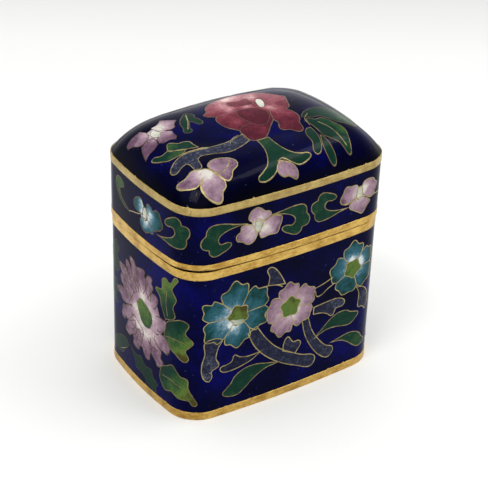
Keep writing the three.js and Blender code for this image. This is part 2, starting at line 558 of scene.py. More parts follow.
LINING_STOPS = [(0.35, (0.008, 0.09, 0.15)), (0.65, (0.02, 0.17, 0.24))]
LINING_CLOUD_SCALE, LINING_ROUGHNESS = 300, 0.2


def lining_glass():
    material, tree, shader = new_material("turquoise lining enamel")
    clouds = object_noise(tree, LINING_CLOUD_SCALE, 4)
    tree.links.new(ramp(tree, clouds, LINING_STOPS), shader.inputs["Base Color"])
    gloss(shader, LINING_ROUGHNESS, GLASS_IOR)
    bump(tree, shader, pitted_height(tree), GROUND_RELIEF)
    return material


lining = lining_glass()
print("metals:", band_metal.name, wire_metal.name, plain_metal.name)

# %% [markdown]
# ## The enamelled shells
#
# The body is a tray with upright walls, and the lid a shallow wall under a low pillow dome. Each is a
# copper core with a ground enamel outside and a plain turquoise enamel inside, which balances the pull
# of the glass as it cools. The ground and the lining are modelled as closed skins of their own, so each
# takes its own finish. Both are rebated where the metal bands sit.

# %% Finish a piece and put it in the frame
def finished_piece(name, bm, material, slot, *stands_for):
    """Turns millimetres into metres, smooths the skin, and lets the piece ride on the box."""
    bmesh.ops.scale(bm, vec=(MM, MM, MM), verts=bm.verts[:])
    bmesh.ops.triangulate(bm, faces=bm.faces[:])
    mesh = bpy.data.meshes.new(name)
    bm.to_mesh(mesh)
    bm.free()
    mesh.materials.append(material)
    mesh.shade_smooth()
    piece = bpy.data.objects.new(name, mesh)
    bpy.context.scene.collection.objects.link(piece)
    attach(piece, "root")
    if stands_for:
        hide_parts(*stands_for)
    print(name, "has", len(mesh.polygons), "triangles")
    return piece


SHARP_ANGLE = math.radians(35)


def crisp(piece):
    """Keeps the edges of rebates and rims crisp under smooth shading."""
    piece.data.set_sharp_from_angle(angle=SHARP_ANGLE)


# %% The body's ground and lining
WALL = 1.8
LINING = 0.35
BAND = 0.9
FLOOR = 1.8
WALL_ROWS = 12

floor_top = floor_foot + FLOOR
core = WALL - LINING


def rows(inset, foot, top, count):
    return [wall_ring(inset, foot + (top - foot) * row / count) for row in range(count + 1)]


def body_ground():
    rings = [pole(floor_foot + LINING), wall_ring(BAND, floor_foot + LINING), wall_ring(BAND, foot_top)]
    rings += rows(ENAMEL_RECESS, foot_top, mouth_foot, WALL_ROWS)
    rings += [wall_ring(BAND, mouth_foot), wall_ring(BAND, seam), wall_ring(core, seam)]
    rings += [wall_ring(core, floor_top - LINING), pole(floor_top - LINING)]
    return carried_round(rings, shell_stations())


def body_lining():
    rings = [pole(floor_top - LINING), wall_ring(core, floor_top - LINING), wall_ring(core, seam)]
    rings += [wall_ring(WALL, seam), wall_ring(WALL, floor_top), pole(floor_top)]
    return carried_round(rings, shell_stations())


def underside():
    rings = [pole(floor_foot), wall_ring(BAND, floor_foot)]
    rings += [wall_ring(BAND, floor_foot + LINING), pole(floor_foot + LINING)]
    return carried_round(rings, shell_stations())


crisp(finished_piece("body_ground", body_ground(), ground, "cobalt_enamel", "body_shell"))
crisp(finished_piece("body_lining", body_lining(), lining, "lining_enamel"))
crisp(finished_piece("body_underside", underside(), lining, "lining_enamel"))

# %% [markdown]
# The lid's dome is a family of rings that shrink from the edge to the middle. They crowd together at
# the edge, where the dome turns over steeply, and the height of each point comes from the pillow
# function, the same one that the drawing uses, so glass and wire will sit exactly on the skin.

# %% The lid's ground and lining
DOME_RINGS = 46
RING_CROWDING = 1.5
LID_PLAY = 0.25
INNER_DROP = 1.0
DOME_THICKNESS = 1.6

lid_inner = WALL - LID_PLAY
lid_rebate = BAND - lid_overhang
inner_spring = spring - INNER_DROP
inner_rise = apex - spring + INNER_DROP - DOME_THICKNESS


def outer_dome_ring(share):
    def ring(run):
        point, _ = plan_at(run, -dome_growth)
        return on_dome(point.x * share, point.y * share)[0]
    return ring


def inner_dome_ring(share, lift):
    def ring(run):
        point, _ = plan_at(run, lid_inner - lift)
        x, y = point.x * share, point.y * share
        return Vector((x, y, pillow(share, x, y, -lid_inner, inner_spring + lift, inner_rise)))
    return ring


shares = [1 - (ring / DOME_RINGS) ** RING_CROWDING for ring in range(DOME_RINGS + 1)]
coarse_shares = shares[::2]


def lid_ground():
    rings = [inner_dome_ring(share, LINING) for share in reversed(coarse_shares)]
    rings += [wall_ring(lid_inner - LINING, seam), wall_ring(lid_rebate, seam)]
    rings += [wall_ring(lid_rebate, lid_band_top)]
    rings += rows(ENAMEL_RECESS - lid_overhang, lid_band_top, shoulder_foot, WALL_ROWS)
    rings += [wall_ring(lid_rebate, shoulder_foot), wall_ring(lid_rebate, spring - ENAMEL_RECESS)]
    rings += [outer_dome_ring(share) for share in shares]
    return carried_round(rings, shell_stations())


def lid_lining():
    rings = [inner_dome_ring(share, 0) for share in reversed(coarse_shares)]
    rings += [wall_ring(lid_inner, seam), wall_ring(lid_inner - LINING, seam)]
    rings += [inner_dome_ring(share, LINING) for share in coarse_shares]
    return carried_round(rings, shell_stations())


crisp(finished_piece("lid_ground", lid_ground(), ground, "cobalt_enamel", "lid_shell"))
crisp(finished_piece("lid_lining", lid_lining(), lining, "lining_enamel"))

# %% [markdown]
# ## The metal bands
#
# Four gilt bands frame the enamel: at the foot, at the mouth, round the lid's rim and round the edge of
# the dome. A band is a flat strip with rounded arrises. Its edges were filed by hand, so they wander a
# little, and small burrs of metal stand over the glass. The corners of the section are bevelled first,
# and the edges are then worn with noise that depends only on the place.

# %% Bands with worn edges
BAND_SPACING = 0.45
BAND_ROWS = 3
ARRIS = 0.14
WANDER, WANDERS_PER_MM = 0.05, 1.3
BURR, BURR_START, BURRS_PER_MM = 1.2, 0.42, 1.7
MOUTH_BURR = 0.4
RIM_HEIGHT = 0.5
SEAM_GAP, SEAM_RIPPLE = 0.25, 0.12
LONG_RIPPLES_PER_MM, SHORT_RIPPLES_PER_MM = 0.11, 0.7
CORNER_GAP, CORNER_GAP_REACH = 0.7, 9.0


def band(outer, inner, foot, top):
    """A strip that is carried round, with its outer arrises bevelled."""
    rings = [wall_ring(inner, foot)] + rows(outer, foot, top, BAND_ROWS) + [wall_ring(inner, top)]
    bm = carried_round(rings, even_stations(BAND_SPACING), ring_shut=True)
    level_of = bm.verts.layers.int["level"]
    arrises = (1, BAND_ROWS + 1)
    edges = [
        edge for edge in bm.edges
        if edge.verts[0][level_of] == edge.verts[1][level_of] and edge.verts[0][level_of] in arrises
    ]
    bmesh.ops.bevel(
        bm, geom=edges, offset=ARRIS, segments=3, profile=0.5, affect="EDGES", material=-1,
    )
    return bm


def wear(bm, edge_height, towards, burr=BURR):
    """Lets the vertices near one edge of a band wander, with burrs that stand out towards the glass."""
    for vert in bm.verts:
        nearness = 1 - abs(vert.co.z - edge_height) / (2 * ARRIS)
        if nearness > 0:
            place = Vector((vert.co.x, vert.co.y, edge_height))
            ripple = noise.noise(place * WANDERS_PER_MM) * WANDER
            spike = max(0.0, noise.noise(place * BURRS_PER_MM) - BURR_START) * burr
            vert.co.z += nearness * (ripple + towards * spike)
    return bm


def open_seam(bm):
    """Lifts the lid's rim a hair off the body, most of all at the front left corner."""
    for vert in bm.verts:
        if vert.co.z < seam + RIM_HEIGHT:
            ripple = noise.noise(vert.co * LONG_RIPPLES_PER_MM)
            ripple += 0.6 * noise.noise(vert.co * SHORT_RIPPLES_PER_MM)
            from_corner = math.hypot(vert.co.x + half_length, vert.co.y + half_depth)
            vert.co.z += SEAM_GAP + SEAM_RIPPLE * ripple
            vert.co.z += CORNER_GAP * math.exp(-from_corner / CORNER_GAP_REACH)
    return bm


lid_face = -lid_overhang
foot_strip = wear(band(0, BAND, 0, foot_top), foot_top, 1)
mouth_strip = wear(band(0, BAND, mouth_foot, seam), mouth_foot, -1, MOUTH_BURR)
lid_strip = open_seam(wear(band(lid_face, lid_rebate, seam, lid_band_top), lid_band_top, 1))
shoulder_strip = wear(band(lid_face, lid_rebate, shoulder_foot, spring), spring, 1)
finished_piece("foot_strip", foot_strip, band_metal, "gilt_brass", "foot_band")
finished_piece("mouth_strip", mouth_strip, band_metal, "gilt_brass", "mouth_band")
finished_piece("lid_strip", lid_strip, band_metal, "gilt_brass", "lid_band")
finished_piece("shoulder_strip", shoulder_strip, pale_metal, "gilt_brass", "shoulder_band")

# %% [markdown]
# A lid without a hinge needs something to keep it in place. Such boxes have a thin strip of plain brass
# soldered inside the mouth, which stands a little over the rim. Its top edge is rounded so that the lid
# slides on, and the bevel takes only the edges where two faces meet at an angle.

# %% The locating collar
COLLAR = 0.5
COLLAR_ARRIS = 0.12
LEVEL_TOLERANCE = 1e-3
RIM_ANGLE = 1

collar_low, collar_high = low_of("locating_collar").z, high_of("locating_collar").z


def collar():
    inner = WALL + COLLAR
    rings = [wall_ring(inner, collar_low), wall_ring(WALL, collar_low)]
    rings += [wall_ring(WALL, collar_high), wall_ring(inner, collar_high)]
    bm = carried_round(rings, shell_stations(), ring_shut=True)
    rim = [
        edge for edge in bm.edges
        if all(abs(vert.co.z - collar_high) < LEVEL_TOLERANCE for vert in edge.verts)
        and edge.calc_face_angle(0) > RIM_ANGLE
    ]
    bmesh.ops.bevel(
        bm, geom=rim, offset=COLLAR_ARRIS, segments=2, profile=0.5, affect="EDGES", material=-1,
    )
    return bm


crisp(finished_piece("mouth_collar", collar(), plain_metal, "plain_brass", "locating_collar"))

# %% [markdown]
# ## Wire and glass
#
# From here on the work is drawing, on flat sheets. A shape is a smooth line through a few knots, and a
# knot with a third value is a sharp corner. The same line is used twice. The glass is the flat face
# inside it, cut into a fine grid so that it can bend with the wall. The wire is a round bevel on a curve,
# flattened as if ground. Glass goes on the box at once, and a sheet's wires are kept until the end.

# %% A smooth line through a few knots
WIRE_STEP = 0.4
CORNER = 1


def smooth_line(knots, shut=True):
    """Places along a smooth curve through the knots, WIRE_STEP or so apart."""
    points = [Vector(knot[:2]) for knot in knots]
    count = len(points)
    tangents = []
    for at, point in enumerate(points):
        before = points[at - 1] if shut or at > 0 else point
        after = points[(at + 1) % count] if shut or at < count - 1 else point
        tangents.append(None if len(knots[at]) > 2 else (after - before).normalized())
    line = []
    for at in range(count if shut else count - 1):
        start, end = points[at], points[(at + 1) % count]
        leaving, arriving = tangents[at], tangents[(at + 1) % count]
        reach = (end - start).length / 3
        pull_out = start.lerp(end, 1 / 3) if leaving is None else start + leaving * reach
        pull_in = end.lerp(start, 1 / 3) if arriving is None else end - arriving * reach
        steps = max(2, round((end - start).length / WIRE_STEP))
        line += interpolate_bezier(start, pull_out, pull_in, end, steps + 1)[:-1]
    if not shut:
        line.append(points[-1])
    return line


# %% Lay glass into a cell
GLASS_GRID = 0.8
CUT_TOLERANCE = 1e-5
GLASS_TOP = 0.03
GLASS_DEPTH = 0.14

cells = {}


def face_outwards(bm):
    """Turns a closed skin right side out. A mirrored drawing comes out inside out."""
    if bm.calc_volume(signed=True) < 0:
        bmesh.ops.reverse_faces(bm, faces=bm.faces[:])


def cut_grid(flat, outline):
    """Cuts a flat face by upright and level planes, so that it can bend."""
    for axis in (0, 1):
        normal = Vector((1 - axis, axis, 0))
        cut = math.ceil(min(point[axis] for point in outline) / GLASS_GRID) * GLASS_GRID
        while cut < max(point[axis] for point in outline):
            everything = flat.verts[:] + flat.edges[:] + flat.faces[:]
            bmesh.ops.bisect_plane(
                flat, geom=everything, dist=CUT_TOLERANCE, plane_co=normal * cut, plane_no=normal,
            )
            cut += GLASS_GRID


def lay_glass(sheet, colour, outline, brush, lift=0.0):
    """Fills an outline with glass. The brush gives root-to-tip, along and across for a flat place."""
    area = sum(a[0] * b[1] - b[0] * a[1] for a, b in zip(outline, outline[1:] + outline[:1]))
    if area < 0:
        outline = outline[::-1]
    flat = bmesh.new()
    flat.faces.new([flat.verts.new((x, y, 0)) for x, y in outline])
    cut_grid(flat, outline)
    bmesh.ops.triangulate(flat, faces=flat.faces[:])
    bmesh.ops.solidify(flat, geom=flat.faces[:], thickness=GLASS_DEPTH)
    middle = sum(vert.co.z for vert in flat.verts) / len(flat.verts)
    brushed = flat.verts.layers.float_vector.new("brush")
    facing = flat.verts.layers.float_vector.new("facing")
    surface, shift, mirror = sheet["surface"], sheet["shift"], sheet["mirror"]
    for vert in flat.verts:
        x, y, on_top = vert.co.x, vert.co.y, vert.co.z > middle
        proud = GLASS_TOP + lift - (0 if on_top else GLASS_DEPTH)
        vert[brushed] = brush(x, y)
        vert.co, normal = surface(shift + mirror * x, y, proud)
        vert[facing] = normal if on_top else -normal
    face_outwards(flat)
    laid = bpy.data.meshes.new("laid")
    flat.to_mesh(laid)
    flat.free()
    cells.setdefault((sheet["carrier"], colour), bmesh.new()).from_mesh(laid)
    bpy.data.meshes.remove(laid)


# %% Bend the wires
WIRE_RADIUS = 0.17
WIRE_TOP = 0.062
WIRE_SINK = 0.1
WIRE_UNEVENNESS = 0.25

wires = {}


def bend_wire(sheet, line, shut, thickness, gilt_and_painted_light=None):
    """Keeps a wire for later. Its gilding, which also carries painted light and shade, comes from the sheet
    if it has none of its own.
    """
    gilt_and_painted_light = sheet["gilt_and_painted_light"] if gilt_and_painted_light is None else gilt_and_painted_light
    thickness *= sheet["fineness"]
    drawn = wires.setdefault(sheet["name"], (sheet, []))[1]
    drawn.append((line, shut, thickness, gilt_and_painted_light))


def open_wires(sheet, *lines, thickness=1.0, gilt_and_painted_light=None):
    """Wires with two ends, each through a few knots."""
    for knots in lines:
        bend_wire(sheet, smooth_line(knots, shut=False), False, thickness, gilt_and_painted_light)


def flat_wires(drawn):
    """Wires as one curve with a round bevel, turned into a mesh."""
    curve = bpy.data.curves.new("wires", "CURVE")
    curve.dimensions = "2D"
    curve.fill_mode = "NONE"
    curve.bevel_depth = WIRE_RADIUS
    curve.bevel_resolution = 1
    curve.use_fill_caps = True
    for line, shut, thickness, _ in drawn:
        spline = curve.splines.new("POLY")
        spline.points.add(len(line) - 1)
        spline.use_cyclic_u = shut
        for knot, (x, y) in zip(spline.points, line):
            knot.co = (x, y, 0, 1)
            knot.radius = thickness * (1 + WIRE_UNEVENNESS * noise.noise(Vector((x, y, 3))))
    bent = bpy.data.objects.new("wires", curve)
    mesh = bpy.data.meshes.new_from_object(bent)
    bpy.data.objects.remove(bent)
    bpy.data.curves.remove(curve)
    return mesh


def lay_wires(sheet, drawn, bm):
    """Lays a sheet's wires on its surface. The gold is full on their crowns and browns down their sides,
    partly tarnish and partly painted shade.
    """
    surface, shift, mirror = sheet["surface"], sheet["shift"], sheet["mirror"]
    for gilt_and_painted_light in sorted({wire[3] for wire in drawn}):
        mesh = flat_wires([wire for wire in drawn if wire[3] == gilt_and_painted_light])
        laid = bmesh.new()
        laid.from_mesh(mesh)
        gilt_and_light_layer = laid.verts.layers.float.new("gilt_and_painted_light")
        for vert in laid.verts:
            x, y, z = vert.co
            crown = z / WIRE_RADIUS
            # The crowns stay gilt and the sides brown: partly tarnish, partly painted shade.
            vert[gilt_and_light_layer] = max(crown, 0.0) * gilt_and_painted_light
            proud = crown * (WIRE_TOP if z > 0 else WIRE_SINK)
            vert.co, _ = surface(shift + mirror * x, y, min(proud, WIRE_TOP))
        face_outwards(laid)
        laid.to_mesh(mesh)
        laid.free()
        bm.from_mesh(mesh)
        bpy.data.meshes.remove(mesh)


def panel(name, surface, carrier, shift=0.0, mirror=1, gilt_and_painted_light=1.0, fineness=1.0):
    """A flat sheet to draw on, laid on a surface of the body or the lid, turned round or mirrored."""
    return {
        "name": name, "surface": surface, "carrier": carrier, "shift": shift, "mirror": mirror,
        "gilt_and_painted_light": gilt_and_painted_light, "fineness": fineness,
    }


# %% [markdown]
# ## A vocabulary of motifs
#
# A workshop draws the same few things again and again: a blossom of five or six ruffled petals, a
# pointed leaf with a double bend, a curled scroll leaf, a cut branch. Each is one function here. A leaf
# is drawn once, from its base at (0, 0) to its tip at (1, 0), and laid between two places. A blossom is
# drawn in polar form round its core, by the place of each petal's tip and of each notch between petals.
# A brush tells a place in the glass how far along its stroke it lies, and so which shade it takes.

# %% Brushes: where a place lies in its stroke
def lengthwise(base, tip, start, end):
    """Shades from start at the base to end at the tip."""
    origin = Vector(base[:2])
    stroke = Vector(tip[:2]) - origin
    length = stroke.length
    stroke.normalize()

    def brush(x, y):
        offset = Vector((x, y)) - origin
        along = offset.dot(stroke)
        share = min(max(along / length, 0.0), 1.0)
        return Vector((start + (end - start) * share, along, offset.x * -stroke.y + offset.y * stroke.x))
    return brush


GLOW_END = 1.05
STREAKS_PER_RADIAN = 6


def radial(centre, inner, outer, start=0.0, end=1.0, glow=0, glow_strength=0.0):
    """Shades from the core outwards. The petals on the side of the glow's angle are paler."""
    def brush(x, y):
        dx, dy = x - centre[0], y - centre[1]
        reach, angle = math.hypot(dx, dy), math.atan2(dy, dx)
        share = (reach - inner) / (outer - inner)
        shade = start + (end - start) * min(max(share, 0.0), 1.0)
        shade -= glow_strength * math.cos(angle - math.radians(glow)) * max(0.0, GLOW_END - share)
        return Vector((shade, reach, angle * STREAKS_PER_RADIAN))
    return brush


def with_glows(brush, *glows):
    """A brush with soft pale patches. Each glow is (x, y, reach, strength), and a negative one is dark."""
    def glowing(x, y):
        shade, along, across = brush(x, y)
        for glow_x, glow_y, reach, strength in glows:
            shade -= strength * math.exp(-((x - glow_x) ** 2 + (y - glow_y) ** 2) / reach**2)
        return Vector((shade, along, across))
    return glowing


# %% Laying a drawn shape between two places
def placed(shape, base, tip, girth_share):
    """A shape drawn from (0, 0) to (1, 0), laid from base to tip. A negative girth mirrors it."""
    origin = Vector(base)
    stroke = Vector(tip) - origin
    aside = Vector((-stroke.y, stroke.x)) * girth_share
    return [(*(origin + stroke * knot[0] + aside * knot[1]), *knot[2:]) for knot in shape]


def cell(sheet, colour, knots, brush, lift=0.0, thickness=1.0, gilt_and_painted_light=None):
    """Glass with a wire all round it."""
    line = smooth_line(knots)
    lay_glass(sheet, colour, line, brush, lift)
    bend_wire(sheet, line, True, thickness, gilt_and_painted_light)


LEAF = [
    (0, 0, CORNER), (0.2, 0.11), (0.38, 0.205), (0.58, 0.24), (0.75, 0.19), (0.83, 0.11), (0.92, 0.06),
    (1, 0), (0.95, -0.08), (0.79, -0.145), (0.64, -0.1), (0.46, -0.015), (0.24, 0.035),
]
SCROLL_LEAF = [
    (0, 0, CORNER), (0.19, 0.067), (0.38, 0.15), (0.57, 0.215), (0.74, 0.235), (0.85, 0.165),
    (0.9, 0.02, CORNER), (0.98, -0.05), (1.03, -0.16), (1, -0.27), (0.87, -0.335, CORNER), (0.87, -0.43),
    (0.77, -0.52), (0.55, -0.485), (0.39, -0.42), (0.352, -0.343), (0.457, -0.286), (0.6, -0.276),
    (0.648, -0.162), (0.57, -0.057), (0.38, 0), (0.14, 0.01),
]
LEAF_GILDING = 0.76


def leaf(sheet, base, tip, side, shade=(0.1, 0.5), shape=LEAF):
    """A green leaf. Its side is its girth, and a negative one bends it the other way."""
    knots = placed(shape, base, tip, side)
    cell(sheet, "green_enamel", knots, lengthwise(base, tip, *shade), gilt_and_painted_light=LEAF_GILDING)


def scroll_leaf(sheet, base, tip, side, shade=(0.25, 0.4)):
    leaf(sheet, base, tip, side, shade, SCROLL_LEAF)


# %% A ruffled blossom
SHOULDER = (0.26, 0.6)
DENT = (0.6, 0.58)
RIM_JITTER, JITTER_PER_DEGREE = 0.22, 0.7
PETAL_SHADES = (0.24, 1.12, 0.36)
PETAL_ROOT, WIRE_ROOT, SHORTEST_WIRE = 0.8, 0.85, 1.1
CORE_LIFT, CORE_LIGHT = 0.008, 70


def polar(centre, angle, reach, *rest):
    turn = math.radians(angle)
    return (centre[0] + reach * math.cos(turn), centre[1] + reach * math.sin(turn), *rest)


def petal_rim(centre, notches, tips):
    """Knots round the blossom: from each notch over a shoulder and a dent to the tip, and down again."""
    knots = []
    for at, (tip_angle, tip_reach) in enumerate(tips):
        sides = (notches[at], notches[(at + 1) % len(notches)])
        knots.append(polar(centre, *sides[0], CORNER))
        for side, order in zip(sides, ((SHOULDER, DENT), (DENT, SHOULDER))):
            notch_angle, notch_reach = side
            between = (tip_angle - notch_angle + 180) % 360 - 180
            for turn_share, reach_share in order:
                angle = notch_angle + between * turn_share
                reach = notch_reach + (tip_reach - notch_reach) * reach_share
                place = Vector((angle * JITTER_PER_DEGREE, tip_reach, centre[0]))
                reach += RIM_JITTER * noise.noise(place)
                knots.append(polar(centre, angle, reach))
            if side is sides[0]:
                knots.append(polar(centre, tip_angle, tip_reach))
    return knots


def lobed(centre, reach, lobes, turn=0.0, depth=0.22, squash=1.0):
    """Knots of a lobed round core."""
    knots = []
    for at in range(2 * lobes):
        x, y, *_ = polar((0, 0), turn + 180 * at / lobes, reach * (1 - depth * (at % 2)))
        knots.append((centre[0] + x * squash, centre[1] + y))
    return knots


def blossom(sheet, colour, centre, notches, tips, core, core_shade, glow, shades=PETAL_SHADES):
    """Petals with single wires between them, and a green core laid over their roots."""
    reach, lobes, turn = core
    root, rim_shade, glow_strength = shades
    outer = max(tip_reach for _, tip_reach in tips)
    shading = radial(centre, reach * PETAL_ROOT, outer, root, rim_shade, glow, glow_strength)
    cell(sheet, colour, petal_rim(centre, notches, tips), shading)
    for angle, notch_reach in notches:
        if notch_reach > reach * SHORTEST_WIRE:
            open_wires(sheet, [polar(centre, angle, notch_reach), polar(centre, angle, reach * WIRE_ROOT)])
    heart = lobed(centre, reach, lobes, turn)
    low, high = polar(centre, CORE_LIGHT + 180, reach), polar(centre, CORE_LIGHT, reach)
    cell(sheet, "green_enamel", heart, lengthwise(low, high, *core_shade), CORE_LIFT)


# %% A cut branch
BRANCH_SHADE = (0.35, 0.5)


def branch(sheet, knots, widths):
    """A branch of slate glass: a line with a width at each knot, and blunt ends."""
    points = [Vector(knot) for knot in knots]
    left, right = [], []
    for at, (point, width) in enumerate(zip(points, widths)):
        along = (points[min(at + 1, len(points) - 1)] - points[max(at - 1, 0)]).normalized()
        aside = Vector((-along.y, along.x)) * width / 2
        ends = (CORNER,) if at == 0 else ()
        left.append((*(point + aside), *ends))
        right.append((*(point - aside), *ends))
    cell(sheet, "slate_enamel", left + right[::-1], lengthwise(knots[0], knots[-1], *BRANCH_SHADE))


print("motifs: blossom, leaf, scroll leaf, branch")

# %% [markdown]
# ## The front of the body
#
# A spray of prunus runs across the front: a large turquoise blossom, a pink one at its side and a second
# turquoise one that turns the corner, on slate branches with three leaves. Positions are the run from
# the middle of the front and the height above the table.

# %% Draw the prunus spray
def branches(sheet):
    branch(sheet, [(-11, 22.4), (-8.6, 18.1), (-5.2, 14.2), (-1.0, 11.1), (3.2, 8.8), (7.6, 6.9)],
           [2.8, 3.4, 3.3, 3.3, 3.1, 2.8])
    branch(sheet, [(4.5, 20.4), (5.7, 16.2), (7.8, 12.4), (10.4, 9.2), (13.3, 7.4)],
           [1.9, 2.2, 2.6, 2.9, 2.6])
    stump = [(-23.6, 22.6), (-23.8, 19), (-24.5, 16), (-24.3, 12.8), (-22.9, 11.1), (-21.9, 12.2),
             (-22, 13.9), (-20.1, 15.1), (-20.9, 17.4), (-20.3, 20.3), (-19.4, 22.4)]
    cell(sheet, "slate_enamel", stump, lengthwise((-22, 22), (-23, 11), 0.45, 0.6))
    twig = [(-8.5, 15.4, CORNER), (-12, 15.2), (-14.4, 15.8), (-15.8, 16.7), (-16.5, 15.1), (-17.8, 14.6),
            (-19.6, 14.2), (-19.2, 12.9), (-17.2, 12.5), (-14, 12.9), (-10.8, 13.9)]
    cell(sheet, "slate_enamel", twig, lengthwise((-9, 15), (-19, 13), 0.15, 0.25))
    bud = [(-1.8, 13.2, CORNER), (-1.6, 15.4), (-0.6, 16.9), (0.4, 15.9), (1.2, 14.9), (2.8, 14.8),
           (3.5, 13.7), (2, 11.3, CORNER)]
    cell(sheet, "slate_enamel", bud, lengthwise((0, 12), (1, 17), 0.3, 0.6))


def right_twigs(sheet):
    crescent = [(-2.1, 32.8, CORNER), (-3.4, 35.4), (-5, 37.7), (-6.4, 38.6), (-7.4, 38), (-6.7, 36),
                (-7.0, 33.7, CORNER), (-4.6, 33.2)]
    cell(sheet, "slate_enamel", crescent, lengthwise((-3, 33), (-6, 38), 0.25, 0.5))
    fork = [(7, 22.9, CORNER), (9.6, 23.1), (12.4, 23.2), (15, 22.9), (16.8, 21.6), (16.3, 20.3),
            (14.1, 20.2), (13, 18.5), (11.2, 19.7), (9.4, 20.5), (7, 20.9, CORNER)]
    cell(sheet, "slate_enamel", fork, lengthwise((7, 22), (16, 21), 0.3, 0.6))
    stub = [(20.5, 24.2, CORNER), (21.5, 22), (21.4, 19.4), (21.6, 17.9), (22.9, 17.7), (24.4, 16.3, CORNER),
            (25.4, 19), (24.6, 21.6), (22.9, 23.4)]
    cell(sheet, "slate_enamel", stub, lengthwise((21, 23), (24, 17), 0.4, 0.6))
    open_wires(
        sheet,
        [(-8.9, 33.7), (-6.4, 33.6), (-4.4, 33.1), (-2.9, 32.2)],
        [(7.1, 28.4), (9.6, 28.9), (12.4, 29.8)],
        [(7.2, 27.6), (7.7, 25.9), (9.2, 25.9), (11.2, 27.1), (13.2, 27.9)],
    )


GLEAM_LIFT = 0.01


def prunus_spray(sheet, whole=True):
    """The spray, or only its left part without the twigs and the blossom to the right."""
    branches(sheet)
    blossom(
        sheet, "teal_enamel", (-15, 28),
        notches=[(136, 5.9), (66, 6.0), (4, 7.2), (-56, 5.6), (-124, 6.4), (-180, 8)],
        tips=[(97, 9.7), (36, 9.3), (-28, 9), (-91, 9.3), (-148, 10.4), (153, 10.6)],
        core=(3.0, 5, 40), core_shade=(0.7, 1.05), glow=205,
    )
    gleam = smooth_line([
        (-17.2, 27.0), (-16.4, 25.8), (-14.8, 25.3), (-13.2, 25.7), (-14, 26.5), (-15.6, 26.7),
    ])
    lay_glass(sheet, "white_enamel", gleam, lengthwise((-16, 25.4), (-15, 27), 0.5, 1.0), GLEAM_LIFT)
    blossom(
        sheet, "pink_enamel", (-0.2, 25.6),
        notches=[(134, 5), (62, 4.7), (-11, 6.2), (-80, 5.2), (-147, 6)],
        tips=[(95, 7.2), (24, 7.8), (-42, 7.6), (-110, 8.4), (179, 7.4)],
        core=(3.1, 5, 90), core_shade=(0.72, 0.85), glow=-60, shades=(0.34, 0.95, 0.18),
    )
    leaf(sheet, (-2.9, 10.4), (-18.8, 6.2), -1, (0.15, 0.3))
    if not whole:
        return
    right_twigs(sheet)
    blossom(
        sheet, "teal_enamel", (18.7, 30.2),
        notches=[(128, 5), (56, 5), (0, 6.2), (-72, 5.6), (-152, 5.6)],
        tips=[(90, 8), (32, 7.7), (-34, 7.8), (-113, 7.3), (167, 7.5)],
        core=(2.8, 5, 60), core_shade=(0.7, 0.9), glow=60,
    )
    leaf(sheet, (7.8, 13.6), (21.7, 16.4), 1, (0.15, 0.25))
    leaf(sheet, (13.4, 10.3), (25.2, 6.6), 0.9, (0.25, 0.45))


front = panel("front", on_body, "body")
prunus_spray(front)
print("front:", len(wires["front"][1]), "wires")

# %% [markdown]
# ## The ends of the body
#
# Each end carries one large chrysanthemum. Its petals are ragged strips laid one over the next from the
# core outwards, each given by the place of its tip and its width, and a few dark wires mark the folds
# where they overlap. A petal's wire starts outside the core. On the flat sheet, 0 is the end's middle.

# %% Draw the chrysanthemum
CHRYSANTHEMUM = (2.2, 22.6)
RAGGED_TIPS = [
    (-6.9, 33.6, 2.6), (-3.9, 35.8, 3.0), (5.0, 35.0, 3.4), (0.6, 35.2, 4.8), (11.6, 24.2, 4.4),
    (7.6, 30.4, 4.0), (12.9, 17.0, 4.6), (-2.4, 11.0, 4.4), (3.2, 10.4, 4.6), (9.4, 11.2, 4.2),
    (-6.6, 13.0, 4.0), (-9.2, 17.2, 4.0), (-11.8, 23.2, 3.2), (-9.8, 27.6, 4.0), (-9.9, 31.4, 3.6),
]
RAGGED_PETAL = [
    (0.18, 0.5), (0.4, 0.95), (0.55, 0.85), (0.72, 1.05), (0.86, 0.75), (0.93, 0.8), (1, 0.1), (0.95, -0.6),
    (0.86, -0.65), (0.76, -1.0), (0.6, -0.8), (0.42, -0.95), (0.18, -0.5),
]
RAGGEDNESS, RAGS_PER_MM = 0.9, 0.8
RAG_SLICES = (0, 40)
PETAL_STEP = 0.0004
PETAL_WIRE_START = 5.6
PETAL_WIRE_GILDING = 0.09
FLOWER_HEART_LIFT = 0.01


def ragged_petal(centre, x, y, width):
    """A strip from the core to a tip, with wavy sides."""
    length = math.hypot(x - centre[0], y - centre[1])
    ragged = []
    for knot in placed(RAGGED_PETAL, centre, (x, y), width / 2 / length):
        places = (Vector((knot[0] * RAGS_PER_MM, knot[1] * RAGS_PER_MM, width + row)) for row in RAG_SLICES)
        shakes = [noise.noise(place) * RAGGEDNESS for place in places]
        ragged.append((knot[0] + shakes[0], knot[1] + shakes[1]))
    return smooth_line(ragged)


